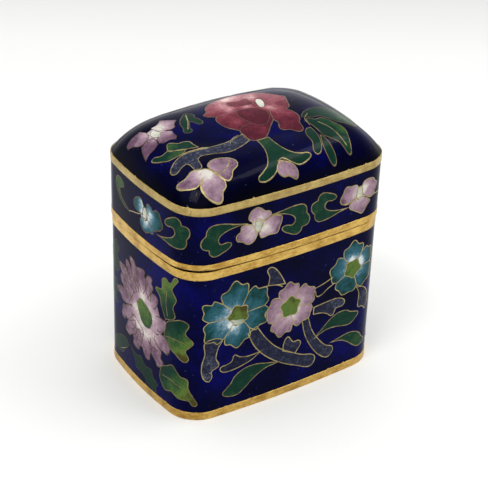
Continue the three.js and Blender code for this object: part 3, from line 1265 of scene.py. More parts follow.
def chrysanthemum(sheet):
    centre = CHRYSANTHEMUM
    shading = with_glows(
        radial(centre, 3.0, 8.5, 0.34, 0.84), (2.0, 27.8, 2.2, 0.45), (-1.9, 22.4, 1.8, 0.45),
        (-0.8, 18.2, 1.9, 0.45), (3.4, 17.4, 2.2, 0.52), (7.0, 18.4, 1.5, 0.3), (6.0, 25.0, 1.5, 0.22),
        (-8, 24, 3, -0.1),
    )
    lay_glass(sheet, "pink_enamel", smooth_line(lobed(centre, 8.2, 7, depth=0.06, squash=0.95)), shading)
    for step, (x, y, width) in enumerate(RAGGED_TIPS):
        line = ragged_petal(centre, x, y, width)
        lay_glass(sheet, "pink_enamel", line, shading, PETAL_STEP * (step + 1))
        outer = [place for place in line if math.dist(place, centre) > PETAL_WIRE_START]
        start = line.index(outer[0])
        bend_wire(sheet, line[start:start + len(outer)], False, 1.3, PETAL_WIRE_GILDING)
    open_wires(
        sheet,
        [(-4.2, 19.3, CORNER), (-2.6, 19.8), (-0.4, 18.9), (1.6, 17.6), (1.5, 16.5), (-0.8, 16.4),
         (-3.8, 16.9, CORNER)],
        [(-2.6, 26.6), (-3.6, 24.8), (-5.4, 22.2)],
        [(-7.2, 29), (-7.8, 27.2), (-7.1, 25.2)],
        [(-5.8, 32.4), (-6.4, 30.6), (-5.8, 28.6)],
        [(4.2, 15.9), (6.4, 15.3), (8.4, 15.5)],
        [(6.8, 20.3), (7.6, 19.9), (8.6, 20.5)],
        thickness=1.4, gilt_and_painted_light=0.0,
    )
    heart = [(-1.2, 24.6, CORNER), (0.2, 26.3), (1.4, 26.5, CORNER), (3.9, 25.5), (5.4, 24.3, CORNER),
             (5.7, 22.2), (4.6, 19.9, CORNER), (2.6, 19.5), (0.8, 20.4, CORNER), (-0.4, 22.4)]
    shading = lengthwise((6.2, 21), (-0.4, 24.6), 0.4, 0.8)
    cell(sheet, "green_enamel", heart, shading, FLOWER_HEART_LIFT, 0.8, PETAL_WIRE_GILDING)


# %% [markdown]
# Three large toothed leaves stand to the right of the flower. Four more, below it and to its left, are
# almost lost on the dark ground: they are a darker green, and their thin wires are browned all over.

# %% Draw its toothed leaves
DIM_SHADE = (-0.25, 0.15)
DIM_THICKNESS = 0.62


def toothed_leaves(sheet):
    top = [(11.2, 26.3, CORNER), (9.6, 29.3), (8.9, 31.6), (7.3, 33.1), (9.7, 34.0), (9.9, 36.7),
           (11.2, 37.6), (12.5, 37.0), (13.4, 37.4), (14.6, 39.2), (15.5, 38.9), (14.4, 37.0), (13.7, 35.5),
           (15.0, 33.3), (14.0, 30.8), (14.6, 28.2)]
    cell(sheet, "green_enamel", top, lengthwise((13.8, 29), (10.5, 36), 0.1, 0.75))
    middle = [(10.9, 23.2, CORNER), (11.9, 25.8), (14.4, 27.4), (16.6, 28.2), (18.4, 27.3), (17.6, 24.7),
              (19.5, 22.4), (18.4, 20.8), (17.6, 19.8), (18.4, 17.6), (17.3, 16.6), (14.7, 18.2),
              (12.4, 19.3), (10.8, 20.6, CORNER)]
    cell(sheet, "green_enamel", middle, lengthwise((12, 25.5), (18.3, 17), 0.05, 1.15))
    bottom = [(9.6, 12, CORNER), (12, 13.3), (13.9, 14.4), (15.3, 13.2), (16.4, 12.1), (18.2, 11.6),
              (18.4, 9.3), (19.7, 6.6), (20.7, 4.7), (19.8, 4.1), (18.5, 5.5), (15.9, 5.5), (13.6, 6.6),
              (11.3, 5.8), (10.1, 6.6), (9, 8.5)]
    cell(sheet, "green_enamel", bottom, lengthwise((9.4, 12.4), (20.6, 4.4), 0.05, 1.1))
    for knots in (
        [(-4.6, 9.6, CORNER), (-1.8, 8.7), (0.6, 9.6, CORNER), (2.4, 8.0), (5.4, 8.4, CORNER), (6.2, 6.4),
         (8.2, 5.4, CORNER), (7.2, 3.6), (7.6, 2.6, CORNER), (5.2, 2.9), (3.0, 3.3, CORNER), (1.4, 4.6),
         (-1.8, 5.0, CORNER), (-2.6, 7.0)],
        [(-12.2, 36.4, CORNER), (-10.5, 34.6), (-11.4, 32.4), (-10.2, 30.2), (-11.8, 27.6), (-14.4, 28.8),
         (-16.2, 31.8), (-14.6, 34.4)],
        [(-12.0, 25.4, CORNER), (-11.3, 22.8), (-12.4, 20.6), (-11.6, 18.4), (-14.2, 18.9), (-16.6, 21.2),
         (-15.4, 24.2)],
        [(-5.4, 9.4, CORNER), (-7.2, 10.4), (-9.9, 9.8), (-12.4, 8.4), (-14, 6.0), (-11.6, 4.6), (-9, 5.2),
         (-7.4, 7.2)],
    ):
        shading = lengthwise(knots[0], knots[4], *DIM_SHADE)
        cell(sheet, "green_enamel", knots, shading, thickness=DIM_THICKNESS, gilt_and_painted_light=0.0)
    open_wires(
        sheet,
        [(11.4, 21.6), (14.2, 22.2), (17.2, 22.1)],
        [(12.0, 27.5), (11.4, 31.0), (11.8, 34.6)],
        [(9.9, 9.6), (13.2, 9.9), (16.6, 9.0)],
        [(-10.4, 5.5), (-8.2, 6.8), (-6.6, 7.9)],
    )


left_end = panel("left end", on_body, "body", -quarter, gilt_and_painted_light=0.85, fineness=0.85)
chrysanthemum(left_end)
toothed_leaves(left_end)
right_end = panel("right end", on_body, "body", quarter, -1)
chrysanthemum(right_end)
leaf(right_end, (9.6, 12.4), (17.6, 5.6), 0.8, (0.1, 0.6))
leaf(right_end, (-8.6, 12.6), (-16.4, 5.4), -0.8, (0.1, 0.6))
print("ends:", len(wires["left end"][1]) + len(wires["right end"][1]), "wires")

# %% [markdown]
# ## The lid's skirt
#
# The skirt has small flowers between pairs of curled leaves. A flower is a pale oval with three petals
# round it, drawn here in its own coordinates, and a curled leaf is the scroll leaf from above. Positions
# are again the run from the middle of the front and the height above the table.

# %% Draw the garland on the skirt
STANDING = [
    [(-1.6, 1.2, CORNER), (-2.7, 2.4), (-2.1, 4.1), (-0.7, 4.8), (0.6, 4.3), (1.6, 3.4), (3.1, 2.9),
     (3.2, 1.8), (1.4, 1.0, CORNER)],
    [(-1.6, 0.7, CORNER), (-4.5, 0.9), (-4.7, -0.4), (-5.8, -1.4), (-5.6, -2.7), (-4.2, -3.3), (-2.6, -4.3),
     (-1.1, -3.8), (-0.2, -2.2, CORNER)],
    [(1.4, 0.5, CORNER), (3.1, 1.4), (4.8, 1.4), (6.3, 0.8), (6.4, -0.4), (5.9, -1.8), (5.2, -3.3), (3, -3.2),
     (1, -3.5), (0.3, -2.2, CORNER)],
]
HANGING = [
    [(-1.2, -0.9, CORNER), (-3.4, -1.7), (-5.3, -1.5), (-6, -0.4), (-5.2, 1.4), (-4.4, 2.8), (-2.8, 2.6),
     (-1.2, 2.5), (-0.5, 1.6, CORNER)],
    [(0.6, 1.4, CORNER), (1.1, 2.8), (2.6, 3.2), (4.1, 2.9), (5.1, 1.7), (6.1, 1.0), (5.4, -0.5), (4.4, -1.9),
     (3, -1.9), (1.2, -0.7, CORNER)],
    [(-1.1, -1.2, CORNER), (-2.8, -2.2), (-2.9, -3.3), (-1.5, -4.3), (0, -5.2), (1.1, -5.8), (2, -5),
     (2.8, -3.8), (3.5, -3), (2.4, -2), (1.0, -1.2, CORNER)],
]
SPREADING = [
    [(-1.2, -0.6, CORNER), (-2.8, -0.6), (-4.6, -0.1), (-4.8, 1.6), (-3.4, 3), (-1.8, 3.4),
     (-0.4, 1.9, CORNER)],
    [(0.8, 1.3, CORNER), (1, 3.1), (2.8, 2.9), (3.4, 2.3), (4.6, 3.1), (5.8, 2.9), (6.5, 1.7), (7.3, 0.1),
     (6.6, -1.2), (5.2, -2), (4, -2.7), (2.4, -2.3), (1.2, -0.9, CORNER)],
    [(-0.2, -1.2, CORNER), (-1.7, -1.7), (-2, -3.1), (-1, -4.3), (0.4, -4.7), (1.8, -4), (3.6, -3.5),
     (2.8, -2.3), (1.4, -1.1, CORNER)],
]
BED_LIFT, OVAL_LIFT = -0.004, 0.006


def garland_flower(sheet, colour, centre, petals, gilt_and_painted_light=1.0, glows=()):
    """Three ruffled petals round a pale oval. Pale glass joins them under the oval."""
    shading = with_glows(radial(centre, 1.2, 6.4, 0.14), *glows)
    lay_glass(sheet, colour, smooth_line(lobed(centre, 2.1, 4, 45, 0.1)), shading, BED_LIFT)
    for petal in petals:
        moved = [(centre[0] + x, centre[1] + y, *rest) for x, y, *rest in petal]
        cell(sheet, colour, moved, shading, gilt_and_painted_light=gilt_and_painted_light)
    oval = lobed(centre, 1.8, 4, 45, 0.04, 0.55)
    shading = lengthwise(centre, (centre[0] + 2, centre[1]), 0.5, 0.8)
    cell(sheet, "white_enamel", oval, shading, OVAL_LIFT, gilt_and_painted_light=gilt_and_painted_light)


def skirt_garland(sheet):
    scroll_leaf(sheet, (-14.4, 52.6), (-25.2, 51.2), -1, (0.15, 0.3))
    pale = [(-8, 49.2, 1.8, 0.4), (-13, 48.6, 1.4, 0.2)]
    garland_flower(sheet, "pink_enamel", (-10.6, 51.2), STANDING, glows=pale)
    scroll_leaf(sheet, (-6.9, 53.1), (3.9, 50.4), 0.92, (0.25, 0.3))
    scroll_leaf(sheet, (14.8, 48.4), (4.2, 50.0), 0.92, (0.15, 0.35))
    pale = [(21, 52.6, 1.2, 0.35), (15, 51.6, 2, -0.12)]
    garland_flower(sheet, "pink_enamel", (18.9, 51.3), HANGING, glows=pale)
    scroll_leaf(sheet, (-37.5, 48.0), (-27.6, 50.9), -1, (0.3, 0.3))
    pale = [(-40.4, 52, 1.4, 0.5), (-44.6, 53.6, 1.2, 0.4), (-41.6, 48.8, 1.4, 0.35)]
    garland_flower(sheet, "teal_enamel", (-43.2, 50.9), SPREADING, 0.5, glows=pale)
    curl = [(-50.6, 48.3, CORNER), (-53.4, 48.6), (-56.2, 50.2), (-57.6, 52.8), (-56.4, 54.9),
            (-53.8, 54.7), (-53.2, 53.4), (-55.2, 52.4), (-54.6, 50.4), (-52.4, 49.2)]
    cell(sheet, "green_enamel", curl, lengthwise((-51, 48), (-57, 54), 0.3, 0.55), gilt_and_painted_light=0.45)
    open_wires(
        sheet,
        [(-17.8, 53.3), (-14.2, 52.5), (-12.2, 51.6)],
        [(-44.6, 50.3), (-46.4, 49.6), (-48.6, 49.0), (-50.6, 48.3)],
        [(-7.2, 53.0), (-5.6, 52.7), (-4.4, 52.2)],
        [(13.2, 50.0), (14.6, 49.4), (16.2, 49.5), (17.8, 50.5)],
        [(20.2, 50.6), (21.6, 49.6), (24.4, 49.5), (27.6, 49.0)],
    )


skirt = panel("skirt", on_skirt, "lid")
skirt_garland(skirt)
print("skirt:", len(wires["skirt"][1]), "wires")

# %% [markdown]
# ## The dome
#
# The dome's drawing is laid on in plan, seen from straight above: a crimson peony in the middle, a slate
# stem with small pink flowers to the left, a green calyx with a bud below, and long leaves to the right.

# %% Draw the peony
PEONY_RIM = [
    (-7, 3, CORNER), (-8, 1.6), (-8.3, -0.7), (-7.8, -3.2), (-6.1, -5.6, CORNER), (-6.8, -8.4), (-6.4, -10),
    (-4.6, -11.1), (-2.6, -10.9), (-0.6, -9.4), (1.5, -7.2), (4, -4.8, CORNER), (4.2, -6.4), (3, -8.8),
    (3.3, -9.9, CORNER), (5, -10.3), (5.9, -11.3), (7.1, -11.8), (8.3, -10.9), (9, -8.4), (10.4, -6.4),
    (10.9, -4), (10.1, -1.2, CORNER), (11.6, -0.4), (12.8, 2), (14.4, 5.4, CORNER), (13.2, 7), (10.3, 10.6),
    (7.3, 12), (2.6, 12.8), (-2.6, 11.6), (-4.8, 10.4), (-6.6, 8.6), (-7.4, 6.8), (-9.1, 5.1),
]
FOLD_LIFT = 0.004


def peony(sheet):
    shading = with_glows(
        lengthwise((3, 12), (0, -10), 0.52, 1.02),
        (-0.4, 10.6, 2.0, 0.3), (2.4, 10.8, 2.4, 0.4), (6.6, 8.4, 1.7, 0.4), (-2.3, 7.8, 1.7, 0.45),
        (-1.9, 5.2, 1.4, 0.42), (-3, 3.9, 1.2, 0.35), (2.3, 4.1, 1.6, 0.42), (7.2, 1.0, 1.9, 0.6),
        (8.2, -1.8, 2.0, 0.2), (7.4, 10.6, 1.4, 0.2), (-4.6, 5.6, 2.0, 0.14), (-4.6, -1.6, 2.2, 0.16),
        (-0.6, -7.4, 1.4, 0.2), (10.6, 5, 2.0, 0.14), (-7.4, -1.6, 1.4, -0.12),
    )
    cell(sheet, "red_enamel", PEONY_RIM, shading, thickness=0.95, gilt_and_painted_light=0.8)
    heart = [(-1.2, 3.3, CORNER), (0.8, 3.2), (2.8, 2.9), (4.2, 2.2), (5, 0.2), (4.4, -2.4),
             (2.8, -4.5), (1.1, -5.8), (-0.7, -5.2), (-1.8, -3), (-2.3, -0.4), (-2, 1.6)]
    cell(sheet, "red_enamel", heart, lengthwise((2, 4), (0.5, -5), 0.9, 1.05), FOLD_LIFT, 0.8, 0.4)
    fold = [(-0.9, 7.4), (-0.4, 8.8), (0.8, 8.8), (2.3, 8), (3.6, 8.5), (5, 8.7), (5, 7), (4.9, 5.2),
            (3.4, 4.9), (1.4, 5.1), (-0.4, 6)]
    cell(sheet, "red_enamel", fold, lengthwise((2.3, 5.2), (2.1, 8.8), 0.85, 0.7), FOLD_LIFT, 0.75, 0.35)
    drop = [(5.6, 4.9), (6.2, 6.2), (7.0, 6.9), (7.8, 6.4), (7.6, 4.8), (6.9, 3.3), (5.8, 2.0), (5.1, 2.4),
            (5.2, 3.7)]
    cell(sheet, "white_enamel", drop, lengthwise((6.3, 6.3), (5.2, 2.2), 0.1, 0.4), FOLD_LIFT, 0.9, 0.2)
    for knots, gilt_and_painted_light in (
        ([(-7, 2.9), (-4.6, 3.3), (-2.4, 3.2), (-1.2, 3.3)], 0.5),
        ([(-6.1, -5.6), (-4.4, -4.4), (-2.6, -4), (-1.4, -3.6)], 0.35),
        ([(4, -4.8), (4.9, -2.6), (5.8, -0.6), (6.6, 0.2), (8, 0.2)], 0.9),
        ([(10.1, -1.2), (9.2, 0.4), (8, 1.4), (8.2, 4.4), (8.4, 7.2), (9.6, 10.2)], 0.6),
        ([(-2.6, 11.2), (-1.4, 9.4), (-0.9, 7.6)], 0.3),
        ([(4.9, 8.6), (6.6, 9.4), (8.3, 7.6)], 0.5),
    ):
        open_wires(sheet, knots, thickness=0.85, gilt_and_painted_light=gilt_and_painted_light)


# %% [markdown]
# The calyx under the peony spreads in two horns, with a small pink bud between them. The slate stem runs
# to the left from the peony's foot. It carries two leaves, a blossom with four petals above and an open
# magnolia below, whose wires are painted brighter than any others on the lid, a painted highlight where
# they catch the light. Four long leaves to the right close the ring.

# %% Draw the calyx and the bud
BUD_LIFT = 0.006


def calyx(sheet):
    horns = [(-4.9, -10.9, CORNER), (-4.8, -12.9), (-5, -15), (-6.1, -17.4), (-8.2, -18.5), (-9.7, -19.2),
             (-8.7, -19.7), (-6.7, -19.6), (-4.6, -18.9), (-2.8, -17.3), (-1.8, -17.1), (0.3, -18.3),
             (1.9, -18.9), (4.2, -18.6), (5.8, -17.9), (5.3, -17.4), (3, -17.1), (0.9, -16.3),
             (-0.6, -14.8), (-1.4, -12.9), (-1.7, -11, CORNER)]
    cell(sheet, "green_enamel", horns, lengthwise((-3, -11.5), (-2.6, -18), 0.4, 0.15))
    bud = [(-4.3, -19), (-3.6, -17.9), (-2.6, -17.5), (-1.6, -17.8), (0.1, -18.5), (0.9, -19.7), (0.1, -20.5),
           (-1.8, -19.9), (-3.3, -19.8)]
    cell(sheet, "pink_enamel", bud, lengthwise((-2.4, -17.6), (0.2, -20.3), 0.5, 0.88), BUD_LIFT)
    for middle in ((-3.1, -17.7), (-1.5, -17.9)):
        bend_wire(sheet, smooth_line(lobed(middle, 0.42, 3)), True, 0.7)


# %% Draw the stem and its leaves
def stem(sheet):
    slate = [(-6.4, -7.2, CORNER), (-8, -7.7), (-10, -8.2), (-12, -8.5), (-14, -8.4), (-16.4, -8),
             (-19, -7.2), (-22.6, -6.2), (-25, -6.7), (-26.3, -8), (-25.7, -9.4), (-24, -9.2),
             (-22.8, -9.4), (-22.5, -11), (-22.3, -12.4), (-21, -12.7), (-20.6, -11.6), (-20.3, -10.1),
             (-19.4, -9.6), (-18, -10), (-16, -10.8), (-14, -11.6), (-12, -11.8), (-9, -11.2),
             (-6.4, -10.2, CORNER)]
    cell(sheet, "slate_enamel", slate, lengthwise((-7, -8), (-26, -8), 0.6, 0.55))
    far_leaf = [(-22.4, -5.8, CORNER), (-24.8, -4.8), (-25.7, -3.6), (-26.5, -2.2), (-26.9, -0.6),
                (-26.2, -0.4), (-25.6, -1.3), (-24.8, -2), (-23.4, -2.1), (-22.4, -3.5), (-20.8, -5.2)]
    cell(sheet, "green_enamel", far_leaf, lengthwise((-26.4, -1), (-22, -5), 0.05, 0.55))
    near_leaf = [(-20.2, -5.2, CORNER), (-21.8, -3.8), (-23.3, -2.5), (-23, -1), (-22.2, 0), (-21.4, -0.7),
                 (-20.6, -1.9), (-19.4, -2.3), (-18.4, -3.2), (-18.3, -4.6), (-18, -6.4, CORNER)]
    cell(sheet, "green_enamel", near_leaf, lengthwise((-22.2, -0.6), (-18.8, -5.4), 0.4, 0.1))
    for knots, thickness in (
        ([(-22.6, -5.7), (-20.6, -6.3), (-18.6, -7)], 1.3),
        ([(-18.8, -7), (-17.6, -7.3), (-16.4, -8)], 1.9),
        ([(-22, -3.8), (-21.2, -4.5), (-20.2, -5.3)], 1.6),
    ):
        open_wires(sheet, knots, thickness=thickness)
    open_wires(sheet, [(-11.2, -9.4), (-10.3, -8.3), (-9, -7.6), (-7.6, -7.2)])
    sprig = [
        (-17.2, 0.8), (-16.4, 2.6), (-15.8, 5), (-15, 6.4), (-13.6, 8), (-12.2, 9.2, CORNER), (-11.2, 8.8),
        (-10.6, 7.4), (-11.2, 6.2), (-10.9, 4.6), (-11.0, 2.8), (-11.8, 2.0), (-12.6, 2.8), (-12.8, 4.0),
        (-13.4, 4.8, CORNER), (-15.2, 1.6), (-15.1, 0.8), (-16.1, 0),
    ]
    shading = with_glows(lengthwise((-14, 7), (-13, 1), 0.2, 0.3), (-16, 5, 1, 0.15))
    cell(sheet, "green_enamel", sprig, shading, gilt_and_painted_light=0.55)
    open_wires(sheet, [(-15.8, 1.6), (-13.8, 4.8), (-12.2, 8.4)], thickness=1.4, gilt_and_painted_light=0.8)


# %% Draw the small flowers
UPPER_BLOSSOM = [
    [(-23.1, 7, CORNER), (-24, 6.2), (-25.6, 6.1), (-26.3, 7.2), (-26.6, 8.4), (-27.4, 9.3, CORNER),
     (-26.9, 10.6), (-25.4, 11), (-23.4, 10.8, CORNER), (-22.9, 8.8)],
    [(-21.3, 9.2, CORNER), (-19.8, 9.2), (-18, 10.6, CORNER), (-17, 9.4), (-15.3, 7.7, CORNER), (-16.6, 6.4),
     (-17.4, 4.8, CORNER), (-18.7, 4.6), (-20, 5.6), (-21, 6.6, CORNER)],
    [(-23.3, 5.8, CORNER), (-24.4, 5.9), (-26, 5.5, CORNER), (-26.6, 4), (-27.4, 1.2, CORNER), (-26.2, 1.7),
     (-24.8, 1.7), (-23.6, 2.2, CORNER), (-23, 4.4)],
    [(-21, 5.4, CORNER), (-19.8, 4.8), (-18.8, 3.8, CORNER), (-19.2, 2.4), (-19.3, 1), (-20, 0.1, CORNER),
     (-21, 1), (-22.4, 1.2), (-23.2, 2.2, CORNER), (-22.8, 3.8)],
]
MAGNOLIA_HEART = (-21.2, -14.1)
MAGNOLIA = [
    (-19.5, -14.6, CORNER), (-20.4, -13.5), (-22, -12.8), (-23.2, -12), (-25.2, -12.4), (-27, -11.9),
    (-27.1, -13.2), (-26.4, -14.2), (-25.4, -15.2), (-24.2, -15.8), (-23, -15.6), (-22, -15, CORNER),
    (-22.9, -15.6), (-23.6, -16.8), (-23.2, -18.4), (-22.2, -19.6), (-21, -20.1), (-19.8, -19.9),
    (-19.2, -19), (-18, -18.4), (-17.9, -17.5, CORNER), (-18.6, -16.5),
]
MAGNOLIA_RIGHT = [
    (-19.4, -14.6, CORNER), (-19.7, -13.3), (-19.2, -12.6), (-18, -12.2), (-16.6, -12.4), (-15.2, -13),
    (-14, -13.6), (-13.1, -14.5), (-13, -15.2), (-13.6, -15.9), (-15, -16.4), (-15.6, -17.2), (-16.7, -17.8),
    (-17.8, -17.4), (-18.6, -16.2),
]
UPPER_OVAL = [(-22.9, 6.9, CORNER), (-21.9, 7.8), (-21, 6.4), (-21.1, 5), (-21.9, 4.2, CORNER), (-22.8, 5)]
UPPER_CORE = (-21.9, 6.2)
UPPER_PETAL_LIFT = 0.002


def upper_blossom(sheet):
    bed = smooth_line(lobed(UPPER_CORE, 2.6, 4, 45, 0.1))
    lay_glass(sheet, "pink_enamel", bed, radial(UPPER_CORE, 1.0, 5))
    shading = with_glows(
        radial((-21.6, 7), 0.8, 6.4, 0.1, glow=60, glow_strength=0.25),
        (-18.4, 7.6, 2.4, 0.2), (-25.4, 8.6, 2.2, -0.2), (-25.4, 4, 2.2, -0.16),
    )
    for petal in UPPER_BLOSSOM:
        cell(sheet, "pink_enamel", petal, shading, UPPER_PETAL_LIFT, 0.8, 0.6)
    shading = lengthwise((-22, 8), (-22, 4), 0.05, 0.55)
    cell(sheet, "white_enamel", UPPER_OVAL, shading, OVAL_LIFT, 0.8, 0.4)


def magnolia(sheet):
    shading = with_glows(
        radial(MAGNOLIA_HEART, 1.5, 6.5, 0.48, 0.88), (-22.6, -13.1, 1.5, 0.3),
        (-21.2, -14.2, 1.7, 0.4), (-20.1, -15.6, 1.5, 0.26), (-25.6, -13.4, 1.8, -0.14),
    )
    # Gilding above 1 brightens these wires: a painted highlight where they catch the light.
    cell(sheet, "pink_enamel", MAGNOLIA, shading, 0.0, 1.25, 1.2)
    cell(sheet, "pink_enamel", MAGNOLIA_RIGHT, radial(MAGNOLIA_HEART, 1.4, 7, 0.35), 0.0, 1.15, 1.1)
    open_wires(sheet, [(-19, -15.3), (-17.4, -15.9), (-16.2, -15.4), (-15, -14.7), (-14.5, -13.9)])
    open_wires(
        sheet,
        [(-19.5, -14.9), (-18.9, -16), (-18.2, -17.2)],
        [(-22.4, -15.3), (-23.4, -16.4), (-23.3, -18)],
        thickness=1.8, gilt_and_painted_light=1.3,
    )


# %% Draw the long leaves
def long_leaves(sheet):
    shades = ((0.2, 0.05), (0.05, 0.2), (0.0, 0.5), (0.05, 0.42))
    gilt_and_light_levels = (0.75, 0.75, 0.7, 0.4)
    leaves = (
        [(10.2, -11.2, CORNER), (8.7, -11.5), (7.6, -13.3), (7.8, -15.4), (6.9, -17.3), (7.5, -18),
         (8.6, -17.8), (9.7, -16.5), (10.3, -14)],
        [(10.9, -14.2, CORNER), (10, -16.9), (10.3, -19.3), (11.1, -20.1), (12.1, -19.5), (12.2, -17.5),
         (11.6, -15)],
        [(11.6, -14.4, CORNER), (11.2, -10.7), (11, -8.6), (11.9, -7.5), (13.5, -8.5), (15.8, -8.3),
         (17.2, -10.6), (18.6, -13.1), (18, -16.1), (16.9, -18.9), (16, -18.9), (15, -16.9), (13.5, -15.7)],
        [(11.0, -6.4, CORNER), (12.2, -5), (14.2, -3.8), (16.6, -3), (18.9, -2.9), (22.2, -4.2), (25.2, -6.5),
         (24.8, -9), (24, -11), (22.8, -12.3), (20.6, -11.4), (18.4, -10.5), (15.8, -7.4), (13.4, -7.4)],
    )
    for knots, shade, gilt_and_painted_light in zip(leaves, shades, gilt_and_light_levels):
        tip = knots[len(knots) // 2 + 1]
        cell(sheet, "green_enamel", knots, lengthwise(knots[0], tip, *shade), gilt_and_painted_light=gilt_and_painted_light)
    open_wires(
        sheet,
        [(10.6, -10.4), (11.2, -7.4), (13.4, -5.4)],
        [(13.4, -9.6), (14.8, -12.2), (16.4, -17.6)],
    )


dome = panel("dome", on_dome, "lid", fineness=0.86)
for draw in (stem, calyx, long_leaves, upper_blossom, magnolia, peony):
    draw(dome)
print("dome:", len(wires["dome"][1]), "wires")

# %% [markdown]
# ## The sides that face away
#
# The back and the right end carry the same motifs, sparser, as a workshop does on the side that faces
# the wall: the spray without its right part, single flowers on the skirt, and two leaves on a short
# branch at the back of the dome.

# %% Draw the back
BACK_SPRAY_SHIFT = 3

back = panel("back", on_body, "body", 2 * quarter + BACK_SPRAY_SHIFT)
prunus_spray(back, whole=False)
leaf(back, (7.8, 13.6), (20.7, 16.4), 1, (0.15, 0.3))

back_skirt = panel("back skirt", on_skirt, "lid", 2 * quarter)
for centre in (-17, 17):
    garland_flower(back_skirt, "pink_enamel", (centre, 51), STANDING)
scroll_leaf(back_skirt, (-6.6, 52.6), (4.2, 50.4), 1)

right_skirt = panel("right skirt", on_skirt, "lid", quarter, -1)
garland_flower(right_skirt, "teal_enamel", (0, 51), HANGING)
scroll_leaf(right_skirt, (-7.4, 51.6), (-16.6, 50.4), -1)
scroll_leaf(right_skirt, (7.6, 50.2), (16.6, 51.8), -1)

leaf(dome, (-4, 16.4), (-17, 17.2), 0.9)
leaf(dome, (4.6, 16.6), (18.4, 15.4), -0.9)
branch(dome, [(-4.2, 16.8), (0, 16.3), (4.6, 16.6)], [1.6, 1.8, 1.6])
print("all panels:", len(wires), "and", sum(len(drawn) for _, drawn in wires.values()), "wires")

# %% [markdown]
# ## Laying the wires and glass on the box
#
# Everything drawn so far is gathered by colour, so each colour of glass on the body or the lid is one
# piece. The faces of a thin slab of glass would shade wrongly at their rims, where the top meets the
# side, so each vertex is told the true direction of the wall beneath it.

# %% Gather the wires and the glass into pieces
def lay_everything():
    for carrier in ("body", "lid"):
        bm = bmesh.new()
        for sheet, drawn in wires.values():
            if sheet["carrier"] == carrier:
                lay_wires(sheet, drawn, bm)
        finished_piece(f"{carrier}_wires", bm, wire_metal, "gilt_wire")
    for (carrier, colour), bm in sorted(cells.items(), key=lambda item: item[0]):
        piece = finished_piece(f"{carrier}_{colour}", bm, glasses[colour], colour)
        facing = piece.data.attributes["facing"]
        normals = [tuple(value.vector) for value in facing.data]
        piece.data.normals_split_custom_set_from_vertices(normals)
        piece.data.attributes.remove(facing)


lay_everything()

# %% [markdown]
# ## Stage, light and camera
#
# The box stands on a plain pale floor that runs out of the picture, its colour painted darker towards the
# back as a painted shade.

# %% The floor
FLOOR_SIZE = 6.0
FLOOR_ROUGHNESS = 0.9
TOWARDS_BACK = (0.57, 0.82, 0)
FLOOR_PAINTED_SHADE_TONES = [(0.08, (0.785, 0.79, 0.775)), (0.2, (0.7, 0.705, 0.695)), (0.26, (0.6, 0.6, 0.595))]


def stage_floor():
    bm = bmesh.new()
    bmesh.ops.create_grid(bm, x_segments=1, y_segments=1, size=FLOOR_SIZE / 2)
    mesh = bpy.data.meshes.new("floor")
    bm.to_mesh(mesh)
    bm.free()
    material, tree, shader = new_material("pale floor")
    place = tree.nodes.new("ShaderNodeTexCoord")
    behind = tree.nodes.new("ShaderNodeVectorMath")
    behind.operation = "DOT_PRODUCT"
    behind.inputs[1].default_value = TOWARDS_BACK
    tree.links.new(place.outputs["Object"], behind.inputs[0])
    # The floor's colour darkens towards the back: a painted shade.
    tree.links.new(ramp(tree, behind.outputs["Value"], FLOOR_PAINTED_SHADE_TONES), shader.inputs["Base Color"])
    shader.inputs["Roughness"].default_value = FLOOR_ROUGHNESS
    mesh.materials.append(material)
    floor = bpy.data.objects.new("floor", mesh)
    bpy.context.scene.collection.objects.link(floor)


stage_floor()
bpy.context.scene.view_settings.view_transform = "Standard"

# %% [markdown]
# The light is a soft surround, as in a light tent, that is brightest in a ring high overhead. One long
# lamp at the front right gives the soft streak over the dome, and a smaller one at the left gives the pale
# patch on the dome's front left corner. Each lamp is given by its place round the box.

# %% Lights
TENT_STRENGTH = 2.3
TENT_TONES = [(0.0, 0.95), (0.2, 0.62), (0.45, 0.22), (0.62, 0.26), (0.7, 0.74), (0.86, 0.8), (0.93, 0.26)]
MIDDLE = (0, 0, 0.03)


def softbox(name, place, target, size, watts):
    light = bpy.data.lights.new(name, "AREA")
    light.shape = "RECTANGLE"
    light.size, light.size_y = size
    light.energy = watts
    lamp = bpy.data.objects.new(name, light)
    lamp.location = place
    lamp.rotation_euler = (Vector(target) - Vector(place)).to_track_quat("-Z", "Y").to_euler()
    bpy.context.scene.collection.objects.link(lamp)


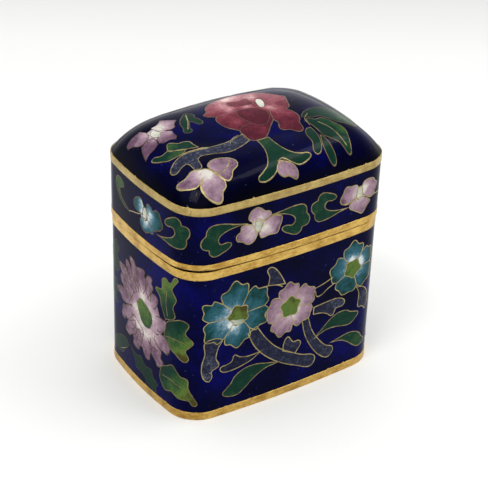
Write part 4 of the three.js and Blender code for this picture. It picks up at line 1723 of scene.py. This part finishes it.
def light_tent():
    """A bright surround. Each of its tones is (sine of elevation, brightness)."""
    world = bpy.data.worlds.new("light tent")
    world.use_nodes = True
    tree = world.node_tree
    direction = tree.nodes.new("ShaderNodeTexCoord")
    parts = tree.nodes.new("ShaderNodeSeparateXYZ")
    tree.links.new(direction.outputs["Generated"], parts.inputs["Vector"])
    tones = ramp(tree, parts.outputs["Z"], [(height, (tone, tone, tone)) for height, tone in TENT_TONES])
    background = tree.nodes["Background"]
    background.inputs["Strength"].default_value = TENT_STRENGTH
    tree.links.new(tones, background.inputs["Color"])
    bpy.context.scene.world = world


def lamp_place(azimuth, elevation, distance):
    """A place round the box. The azimuth is measured from the front towards the right end."""
    level = distance * math.cos(math.radians(elevation))
    turn = math.radians(azimuth)
    return (level * math.sin(turn), -level * math.cos(turn), distance * math.sin(math.radians(elevation)))


light_tent()
softbox("key", lamp_place(60, 52, 0.9), MIDDLE, (0.6, 0.1), 1.65)
softbox("corner", lamp_place(-66, 60, 0.8), MIDDLE, (0.26, 0.18), 1.5)

# %% [markdown]
# The camera stands at the angle of the photograph: a little above the box, off its front left corner,
# with a slight roll. Its distance and lens were solved together from the edges of the bands.

# %% The camera
AZIMUTH, ELEVATION, ROLL = (math.radians(angle) for angle in (-34.697, 30.686, 2.069))
DISTANCE = 0.37014
CLIP_START, CLIP_END = 0.01, 20
AIM_ASIDE, AIM_UP = 0.000165, 0.000542
FOCAL_PIXELS = 1481.48
LONG_SIDE_PIXELS = 500
SENSOR = 36.0


def photo_camera():
    back = Vector((
        math.sin(AZIMUTH) * math.cos(ELEVATION),
        -math.cos(AZIMUTH) * math.cos(ELEVATION),
        math.sin(ELEVATION),
    ))
    right = (-back).cross(Vector((0, 0, 1))).normalized()
    up = right.cross(-back)
    place = Vector(MIDDLE) + right * AIM_ASIDE + up * AIM_UP + back * DISTANCE
    rolled_right = right * math.cos(ROLL) + up * math.sin(ROLL)
    rolled_up = up * math.cos(ROLL) - right * math.sin(ROLL)
    data = bpy.data.cameras.new("camera")
    data.sensor_width = SENSOR
    data.lens = SENSOR * FOCAL_PIXELS / LONG_SIDE_PIXELS
    data.clip_start, data.clip_end = CLIP_START, CLIP_END
    camera = bpy.data.objects.new("camera", data)
    turn = Matrix((rolled_right, rolled_up, back)).transposed()
    camera.matrix_world = Matrix.Translation(place) @ turn.to_4x4()
    bpy.context.scene.collection.objects.link(camera)
    bpy.context.scene.camera = camera


photo_camera()
